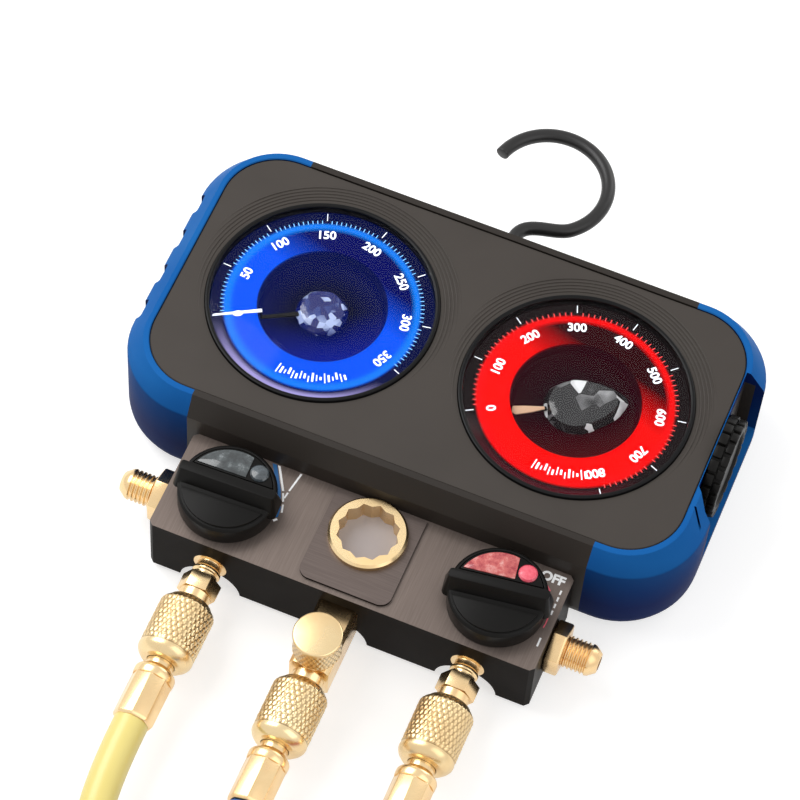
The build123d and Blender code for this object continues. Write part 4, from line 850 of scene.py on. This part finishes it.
def pointer(side):
    # low: a white tip over the lit ring on a cranked arm. high: a short pale blade on a straight arm
    look = needleLook
    tip, arm = bmesh.new(), bmesh.new()
    armEnd = look["crank"] if side == "low" else look["straight"]
    taperBar(arm, look["armStart"], armEnd, 0.8, 0.6, look["armLow"], look["armHigh"])
    if side == "low":
        taperBar(tip, armEnd - look["overlap"], look["tip"], 0.62, 0.3, look["tipLow"], look["tipHigh"])
        taperBar(arm, armEnd - look["overlap"], armEnd, 0.5, 0.5, look["armHigh"] - 0.1, look["tipLow"] + 0.1)
    else:
        prism(tip, look["blade"], look["armHigh"], look["armHigh"] + look["bladeThick"])
    roundEdges(tip, tip.edges[:], 0.12, 2)
    place = Matrix.Translation((dialLook[side]["x"] * mm, 0, 0))
    place @= Matrix.Rotation(radians(dialLook["zero"]), 4, "Z")
    for label, bm, finish in (("Pointer", tip, pointerInks[side]), ("PointerArm", arm, bezelGloss)):
        bmesh.ops.transform(bm, matrix=place, verts=bm.verts)
        makePiece(side + label, bm, finish, side + "_needle")


def arbor(side):
    # what the frame's needle has below the boss
    bm = bmesh.new()
    bm.from_mesh(nodes[side + "_needle"].data)
    bmesh.ops.remove_doubles(bm, verts=bm.verts, dist=mergeGap)
    keepSide(bm, (0, 0, hubLook["arborTop"] * mm), (0, 0, -1))
    makePiece(side + "Arbor", bm, brass, side + "_needle")


def bezelAndLens(side):
    look = bezelLook
    seat, top, inner, outer = look["seat"], look["top"], look["inner"], look["outer"]
    edge, glass = look["lens"], look["lensTop"]
    place = (dialLook[side]["x"], 0, 0)
    bm = bmesh.new()
    lathe(bm, [(edge, seat), (outer, seat), (outer, top - 0.5), (outer - 0.15, top - 0.15),
               (outer - 0.5, top), (inner + 0.5, top - 0.05), (inner + 0.1, top - 0.3), (inner, top - 0.7),
               (inner, glass), (edge, glass)], place, steps=144)
    makePiece(side + "Bezel", bm, bezelGloss, "head", stands=(side + "_bezel_ring",))
    bm = bmesh.new()
    lathe(bm, [(0, seat), (edge, seat), (edge, glass - 0.2), (inner, glass), (0, glass)], place, close=False)
    makePiece(side + "Lens", bm, clearLens, "head", stands=(side + "_lens",))


# the hubs' pale and bright tones are painted reflections
hubFinishes = {
    "low": crystalFinish("lowHubClear", -gaugeX, 420, linear(6, 20, 96), linear(40, 60, 128),
                         linear(170, 186, 226)),
    "high": crystalFinish("highHubClear", gaugeX, 190, linear(30, 30, 32), linear(110, 110, 112),
                          linear(226, 228, 230)),
}
pointerInks = {"low": whiteInk, "high": glowFinish("paleBlade", linear(196, 158, 128), 0.25)}
for side in ("low", "high"):
    hubBoss(side)
    pointer(side)
    arbor(side)
    bezelAndLens(side)
    paint(blackPlastic, side + "_gauge_case")
    paint(lightGuide[side], side + "_light_ring")
    paint(brass, side + "_movement", side + "_sector_gear", side + "_gauge_socket")
    paint(knurlBrass, side + "_bourdon_tube")
print("gauges dressed")


selectorLook = {
    "y": 2.0, "z": 30.0, "inside": 91.3, "inner": 96.6, "split": 99.9, "splitGap": 0.15, "outer": 102.8,
    "rim": 102.0, "dish": 101.6, "hole": 3.0, "edgeRadius": 15.9, "rootRadius": 16.4, "radius": 17.9,
    "outerRadius": 17.3, "ribs": 22, "ribWidth": 4.1, "outerRibWidth": 3.5, "ribRound": 0.45,
}


def selectorDrum(bm):
    look = selectorLook
    root, edge, rim, dish = look["rootRadius"], look["edgeRadius"], look["rim"], look["dish"]
    lathe(bm, [(look["hole"], look["inside"]), (look["hole"], look["inner"]), (edge, look["inner"]),
               (root, look["inner"] + 0.5), (root, rim), (edge, rim + 0.5), (13.9, rim + 0.6),
               (13.5, rim + 0.2), (13.3, dish + 0.1), (12.6, dish), (0, dish), (0, look["inside"])],
          (0, look["y"], look["z"]), axis=(1, 0, 0), steps=88, close=False)


def selectorRibs(bm, start, end, radius, width, offset):
    # one row of castellations about the drum
    look = selectorLook
    for count in range(look["ribs"]):
        rib = roundedBox((start, -width / 2, look["rootRadius"] - 1.0), (end, width / 2, radius),
                         look["ribRound"], 2)
        turn = Matrix.Rotation(2 * pi * (count + offset) / look["ribs"], 4, "X")
        bmesh.ops.transform(rib, verts=rib.verts,
                            matrix=Matrix.Translation((0, look["y"] * mm, look["z"] * mm)) @ turn)
        absorb(bm, rib)


look = selectorLook
bm = bmesh.new()
selectorDrum(bm)
selectorRibs(bm, look["inner"], look["split"] - look["splitGap"], look["radius"], look["ribWidth"], 0.0)
selectorRibs(bm, look["split"] + look["splitGap"], look["outer"] - 0.1, look["outerRadius"],
             look["outerRibWidth"], 0.5)
makePiece("selectorKnob", bm, knobPlastic, "selector", stands=("selector_knob",), sharp=30)
frameCopy("hook", "hangingHook", hookCoat, "hook", soften=0.25, sharp=40)
paint(steel, "hook_bushing", "hook_clip", "housing_screws", "coin_cells")
paint(blackPlastic, "selector_switch")
paint(shellPlastic, "battery_cover")
print("selector and hook dressed")


paint(blockCoat, "manifold_block")
paint(blockTopCoat, "centre_plate")
paint(paleBrass, "sight_glass_nut")
paint(sightPanePaintedGlow, "sight_glass")

inkLook = {
    "top": 28.0, "thick": 0.05, "offPlace": (62.4, -60.0), "offSize": 4.7,
    "dashX": 66.6, "dashHalf": 0.32, "dashStart": -64.0, "dashStep": 2.7, "dashLength": 1.7, "dashes": 4,
    "lastDash": (-84.0, 3.4),
    "stripe": ((-40.2, -57.0), (-34.9, -66.0), (-31.9, -72.4), (-31.2, -75.8), (-30.4, -75.4), (-30.8, -72.0),
               (-33.4, -65.8), (-38.6, -57.0)),
    "lines": (((-38.2, -57.0), (-33.1, -65.6), (-32.4, -65.3), (-37.3, -57.0)),
              ((-32.7, -66.4), (-31.4, -69.4), (-30.8, -69.1), (-32.1, -66.1)),
              ((-31.0, -70.4), (-30.2, -73.4), (-29.6, -73.2), (-30.4, -70.2)),
              ((-31.6, -77.0), (-30.6, -75.9), (-30.0, -76.4), (-31.0, -77.5)),
              ((-30.0, -57.0), (-31.2, -64.6), (-30.6, -64.7), (-29.3, -57.0)),
              ((-31.3, -65.4), (-31.6, -67.8), (-31.0, -67.9), (-30.7, -65.5))),
    "tick": ((60.2, -63.4), (61.0, -62.4), (63.4, -64.6), (62.6, -65.6)),
    "arcRadius": 17.5, "arcWidth": 0.4, "arcStart": 34, "arcEnd": -14, "arcStep": 6,
}


def printMark(name, ink, outlines, bm=None):
    # flat print on the block's top
    bm = bm or bmesh.new()
    for corners in outlines:
        prism(bm, corners, inkLook["top"], inkLook["top"] + inkLook["thick"])
    makePiece(name, bm, ink, "head")


def dashOutline(middle, length):
    x, half = inkLook["dashX"], inkLook["dashHalf"]
    return [(x - half, middle - length / 2), (x + half, middle - length / 2),
            (x + half, middle + length / 2), (x - half, middle + length / 2)]


def arcOutline(x, y):
    # a thin arc beside the knob whose middle is at x, y
    turns = [radians(angle) for angle in range(inkLook["arcStart"], inkLook["arcEnd"], -inkLook["arcStep"])]
    inner, outer = inkLook["arcRadius"], inkLook["arcRadius"] + inkLook["arcWidth"]
    return ([(x + inner * cos(turn), y + inner * sin(turn)) for turn in turns]
            + [(x + outer * cos(turn), y + outer * sin(turn)) for turn in reversed(turns)])


knobLook = {
    "low": {"x": -48.5, "turn": 2.0}, "high": {"x": 48.5, "turn": 8.5},
    "y": -76.0, "top": 36.0, "floor": 34.8, "padRise": 0.5, "padRadius": 15.2, "barHalf": 4.95,
    "windowRadius": 14.2, "windowHalf": 0.45, "windowNear": 5.5, "windowEnd": 4.3,
    "pipX": 8.1, "pipY": 8.6, "pipRadius": 3.2, "pipFoot": 36.2, "pipTop": 37.8,
}
look = inkLook
dashes = [dashOutline(look["dashStart"] - count * look["dashStep"], look["dashLength"])
          for count in range(look["dashes"])]
offWord = wordMesh("offWord", "OFF", look["offSize"], (*look["offPlace"], look["top"] + 0.02), 0, weight=0.2)
printMark("blockMarks", printInk, dashes + [dashOutline(*look["lastDash"])], offWord)
printMark("lowStripe", blueInk, [look["stripe"]])
printMark("lowMarks", printInk, look["lines"])
printMark("highMark", redInk, [look["tick"], arcOutline(knobLook["high"]["x"], knobLook["y"])])
print("manifold dressed")


insertFinishes = {
    "low": insertFinish("lowInlay", linear(52, 56, 58), linear(70, 76, 78), linear(132, 138, 140)),
    "high": insertFinish("highInlay", linear(168, 52, 62), linear(206, 100, 96), linear(232, 176, 170)),
}
pipFinishes = {
    "low": insertFinish("lowPip", linear(58, 64, 68), linear(76, 84, 90), linear(120, 130, 136)),
    "high": insertFinish("highPip", linear(228, 74, 96), linear(240, 100, 118), linear(250, 130, 146)),
}


def knobBack():
    # the half disc behind the bar
    look = knobLook
    bm = drum(look["padRadius"], look["floor"], look["top"] + look["padRise"], taper=0.3)
    keepSide(bm, (0, look["barHalf"] * mm, 0), (0, 1, 0))
    roundEdges(bm, sharpEdges(bm, 40), 0.25, 2)
    return bm


def knobWindow():
    # the coloured inlay in the half disc
    look = knobLook
    level = look["top"] + look["padRise"]
    bm = drum(look["windowRadius"], level - look["windowHalf"], level + look["windowHalf"])
    keepSide(bm, (0, look["windowNear"] * mm, 0), (0, 1, 0))
    keepSide(bm, (look["windowEnd"] * mm, 0, 0), (-1, 0, 0))
    roundEdges(bm, sharpEdges(bm, 40), 0.2, 2)
    return bm


def knobPip():
    # the round dot beside the inlay
    look = knobLook
    radius, foot, top = look["pipRadius"], look["pipFoot"], look["pipTop"]
    bm = bmesh.new()
    lathe(bm, [(0, foot), (radius, foot), (radius, top - 0.8), (radius - 0.5, top - 0.3), (1.2, top - 0.05),
               (0, top)], (look["pipX"], look["pipY"], 0), steps=40, close=False)
    return bm


for side in ("low", "high"):
    place = Matrix.Translation((knobLook[side]["x"] * mm, knobLook["y"] * mm, 0))
    place @= Matrix.Rotation(radians(knobLook[side]["turn"]), 4, "Z")
    body, inlay = side + "_valve", side + "_insert"
    frameCopy(side + "_valve_knob", side + "Knob", knobPlastic, body, soften=0.4)
    for label, bm, finish, slot, stands in (
            ("KnobBack", knobBack(), knobPlastic, "knob_black", (side + "_knob_insert",)),
            ("Insert", knobWindow(), insertFinishes[side], inlay, ()),
            ("Pip", knobPip(), pipFinishes[side], inlay, ())):
        bmesh.ops.transform(bm, verts=bm.verts, matrix=place)
        makePiece(side + label, bm, finish, body, stands=stands)
    paint(brass, side + "_valve_stem")
print("valves dressed")


knurlLook = {"around": 32, "pitch": 1.85, "depth": 0.46, "stepsPerDiamond": 6, "start": 0.8, "end": 18.9}
nutLook = {"radius": 9.75, "bore": 5.6, "rearBore": 5.1, "cavity": 7.5, "length": 24.5, "knurled": 18.4}
ferruleLook = {"neck": 4.9, "collar": 7.2, "flats": 7.12, "neckStart": 21.0, "split": 31.0, "end": 47.8}


def knurl(verts, axisPoint, axis, low, high, around, pitch, depth):
    # presses crossing diagonal grooves into a turned band
    axis = Vector(axis)
    side = axis.orthogonal().normalized()
    other = axis.cross(side)
    for vert in verts:
        arm = vert.co - Vector(axisPoint) * mm
        along = arm.dot(axis) / mm
        if not low < along < high:
            continue
        arm -= axis * arm.dot(axis)
        turn = atan2(arm.dot(other), arm.dot(side)) / (2 * pi) * around
        slopes = [abs((turn + sign * along / pitch / 2) % 1 - 0.5) * 2 for sign in (-1, 1)]
        vert.co -= arm.normalized() * depth * max(slopes) ** 2 * mm


def knurledNut(bm, mouth, heading):
    # coupling nut: knurled front cone and barrel, plain rear band
    look, nut = knurlLook, nutLook
    radius, bore, cavity, length = nut["radius"], nut["bore"], nut["cavity"], nut["length"]
    step = look["pitch"] / look["stepsPerDiamond"]
    rows = [(bore, 0.0), (7.0, 0.0), (7.4, 0.3)]
    for row in range(int(nut["knurled"] / step) + 1):
        rows.append((min(radius, 7.6 + row * step * 0.95), 0.6 + row * step))
    rows += [(9.2, 19.6), (9.2, 19.9), (9.7, 20.1), (radius, 20.6), (9.6, 21.6), (8.9, 22.8), (7.6, 24.0),
             (6.9, length - 0.1), (nut["rearBore"], length), (nut["rearBore"], 20.5), (cavity, 20.5),
             (cavity, 11.6), (bore, 11.6)]
    fresh = lathe(bm, rows, mouth, axis=heading, steps=look["around"] * 5)
    outside = [vert for vert in fresh
               if (vert.co - Vector(mouth) * mm).cross(Vector(heading)).length > cavity * mm]
    knurl(outside, mouth, heading, look["start"], look["end"], look["around"], look["pitch"], look["depth"])


def crimpedFerrule(bm, mouth, heading):
    # neck, collar and eight long flats that grip the hose; distances run back from the nut's mouth
    look = ferruleLook
    neck, collar, flats, start = look["neck"], look["collar"], look["flats"], look["neckStart"]
    split, end = look["split"], look["end"]
    lathe(bm, [(0, start), (neck - 0.6, start), (neck, start + 0.5), (neck, start + 5.6), (neck + 0.5, 27.3),
               (collar - 0.3, 28.3), (collar, 28.9), (collar + 0.05, 29.6), (collar, split),
               (collar - 0.25, split + 0.6), (0, split + 0.6)], mouth, axis=heading, steps=64, close=False)
    eight = lathe(bm, [(0, split), (6.6, split), (flats, split + 0.7), (flats, end - 1.2), (6.7, end - 0.2),
                       (6.2, end), (0, end)], mouth, axis=heading, steps=8, close=False)
    roundEdges(bm, sharpEdges(bm, 20, set(eight)), 0.22, 2)


def coupling(side, end, mouth, heading, nutBody, nutNode, ferruleNode):
    # one hose end: the nut, and the ferrule behind it
    nut, ferrule = bmesh.new(), bmesh.new()
    knurledNut(nut, mouth, heading)
    crimpedFerrule(ferrule, mouth, heading)
    name = side + end
    return [makePiece(name + "Nut", nut, knurlBrass, nutBody, stands=nutNode, sharp=50),
            makePiece(name + "Ferrule", ferrule, brass, "head", stands=ferruleNode)]


nutStarts = {"low": (-46.5, -110.5, 15), "service": (0, -123.5, 15), "high": (46.5, -110.5, 15)}
dressed = {}
for side, mouth in nutStarts.items():
    place, heading = farPlace(side)
    shared = side == "low"  # the low hose's pieces stand for the nodes that hold all three
    dressed[side] = coupling(side, "Near", mouth, Vector((0, -1, 0)), side + "_hose_nut",
                             (side + "_hose_nut",), ("near_hose_ferrules",) if shared else ())
    dressed[side] += coupling(side, "Far", place + heading * hoseLook["endReachMm"], -heading, "head",
                              ("far_hose_nuts",) if shared else (), ("far_hose_ferrules",) if shared else ())


portLook = {"x": 69.0, "y": -77.0, "z": 15.5, "bore": 2.5, "plug": 6.0, "neck": 4.9, "thread": 5.55,
            "threadStart": 5.5, "threadEnd": 14.6, "pitch": 1.5, "threadDepth": 0.62, "tip": 17.5,
            "hexRadius": 9.2, "hexLength": 5.5}


def threadRows(radius, start, end, pitch, depth):
    # zigzag of a thread's flanks, as (radius, distance) pairs
    rows = []
    for turn in range(int((end - start) / pitch)):
        low = start + turn * pitch
        rows += [(radius - depth, low), (radius - depth, low + pitch * 0.2), (radius, low + pitch * 0.55),
                 (radius, low + pitch * 0.75)]
    return rows


def flarePort(bm, end):
    # threaded flare fitting with its hexagon, on one end of the block
    look = portLook
    place = (end * look["x"], look["y"], look["z"])
    bore, plug, neck, tip = look["bore"], look["plug"], look["neck"], look["tip"]
    rows = [(bore, 0), (bore, -7), (plug, -7), (plug, 0.0), (neck, 0.0), (neck, look["threadStart"] - 0.1)]
    rows += threadRows(look["thread"], look["threadStart"], look["threadEnd"], look["pitch"],
                       look["threadDepth"])
    rows += [(5.3, tip - 2.5), (3.6, tip - 0.2), (3.3, tip), (bore, tip)]
    lathe(bm, rows, place, axis=(end, 0, 0), steps=72)
    radius, length = look["hexRadius"], look["hexLength"]
    six = lathe(bm, [(5.0, 0.0), (radius - 0.6, 0.0), (radius, 0.5), (radius, length - 0.5),
                     (radius - 0.6, length), (5.0, length)], place, axis=(end, 0, 0), steps=6)
    roundEdges(bm, sharpEdges(bm, 30, set(six)), 0.25, 2)


bm = bmesh.new()
flarePort(bm, -1)
flarePort(bm, 1)
makePiece("flarePorts", bm, brass, "head", stands=("flare_ports",))

frameCopy("hose_nipples", "hoseNipples", brass, "head", soften=0.2)
frameCopy("service_tee", "serviceTee", brass, "head", soften=0.3)

capLook = {"place": (0, -113.2, 0), "bore": 5.62, "low": 22.8, "bandLow": 24.0, "band": 8.2, "rows": 28,
           "rowStep": 0.3, "top": 34.0, "inside": 32.2, "around": 30, "pitch": 1.75, "depth": 0.32}
look = capLook
bm = bmesh.new()
rows = [(look["bore"], look["low"]), (7.5, look["low"]), (7.9, 23.1), (8.0, 23.6)]
rows += [(look["band"], look["bandLow"] + row * look["rowStep"]) for row in range(look["rows"])]
rows += [(7.95, 32.5), (8.0, 32.7), (8.3, 32.9), (8.35, look["top"] - 0.5), (8.1, look["top"] - 0.1),
         (7.7, look["top"]), (0, look["top"]), (0, look["inside"]), (look["bore"], look["inside"])]
fresh = lathe(bm, rows, look["place"], steps=150, close=False)
band = [vert for vert in fresh if hypot(vert.co.x, vert.co.y - look["place"][1] * mm) > 7.9 * mm]
knurl(band, look["place"], (0, 0, 1), look["bandLow"] + 0.1, 32.0, look["around"], look["pitch"],
      look["depth"])
bmesh.ops.holes_fill(bm, edges=[edge for edge in bm.edges if edge.is_boundary])
makePiece("serviceCap", bm, knurlBrass, "service_cap", stands=("service_cap",), sharp=50)
print("fittings dressed")

floorLook = {"size": 14.0, "level": -0.0002, "tone": 0.6, "lift": 0.62}
recipe = Recipe("floor")
paper = recipe.add("ShaderNodeBsdfDiffuse", {}, {"Color": [floorLook["tone"]] * 3})
white = recipe.add("ShaderNodeEmission", {}, {"Color": (1, 1, 1), "Strength": floorLook["lift"]})
bright = recipe.add("ShaderNodeAddShader", {}, {0: paper, 1: white})
mixed = recipe.add("ShaderNodeMixShader", {}, {0: recipe.seenRays(), 1: paper, 2: bright})
bm = bmesh.new()
bmesh.ops.create_grid(bm, x_segments=1, y_segments=1, size=floorLook["size"] / 2)
bmesh.ops.translate(bm, verts=bm.verts, vec=(0, 0, floorLook["level"]))
mesh = bpy.data.meshes.new("floor")
bm.to_mesh(mesh)
bm.free()
mesh.materials.append(recipe.surface(mixed))
floorSheet = bpy.data.objects.new("floor", mesh)
bpy.context.scene.collection.objects.link(floorSheet)

lampLook = {
    "key": {"place": (-0.62, 0.05, 0.8), "size": 0.7, "power": 7},
    "fill": {"place": (0.95, -0.4, 1.0), "size": 1.2, "power": 4},
    "rim": {"place": (0.6, 1.1, 0.55), "size": 0.8, "power": 4},
}
lampAim = Vector((0, -0.05, 0))
for name, look in lampLook.items():
    lampData = bpy.data.lights.new(name, "AREA")
    lampData.size = look["size"]
    lampData.energy = look["power"]
    lamp = bpy.data.objects.new(name, lampData)
    lamp.location = look["place"]
    lamp.rotation_euler = (Vector(look["place"]) - lampAim).to_track_quat("Z", "Y").to_euler()
    bpy.context.scene.collection.objects.link(lamp)

# soft light from all sides, plain white where the lens sees it
sky = Recipe("sky", world=True)
soft = sky.add("ShaderNodeBackground", {}, {"Color": (1, 1, 1), "Strength": 0.5})
plain = sky.add("ShaderNodeBackground", {}, {"Color": (1, 1, 1), "Strength": 1.0})
choice = sky.add("ShaderNodeMixShader", {}, {0: sky.seenRays(), 1: soft, 2: plain})
bpy.context.scene.world = sky.surface(choice)
print("stage set")
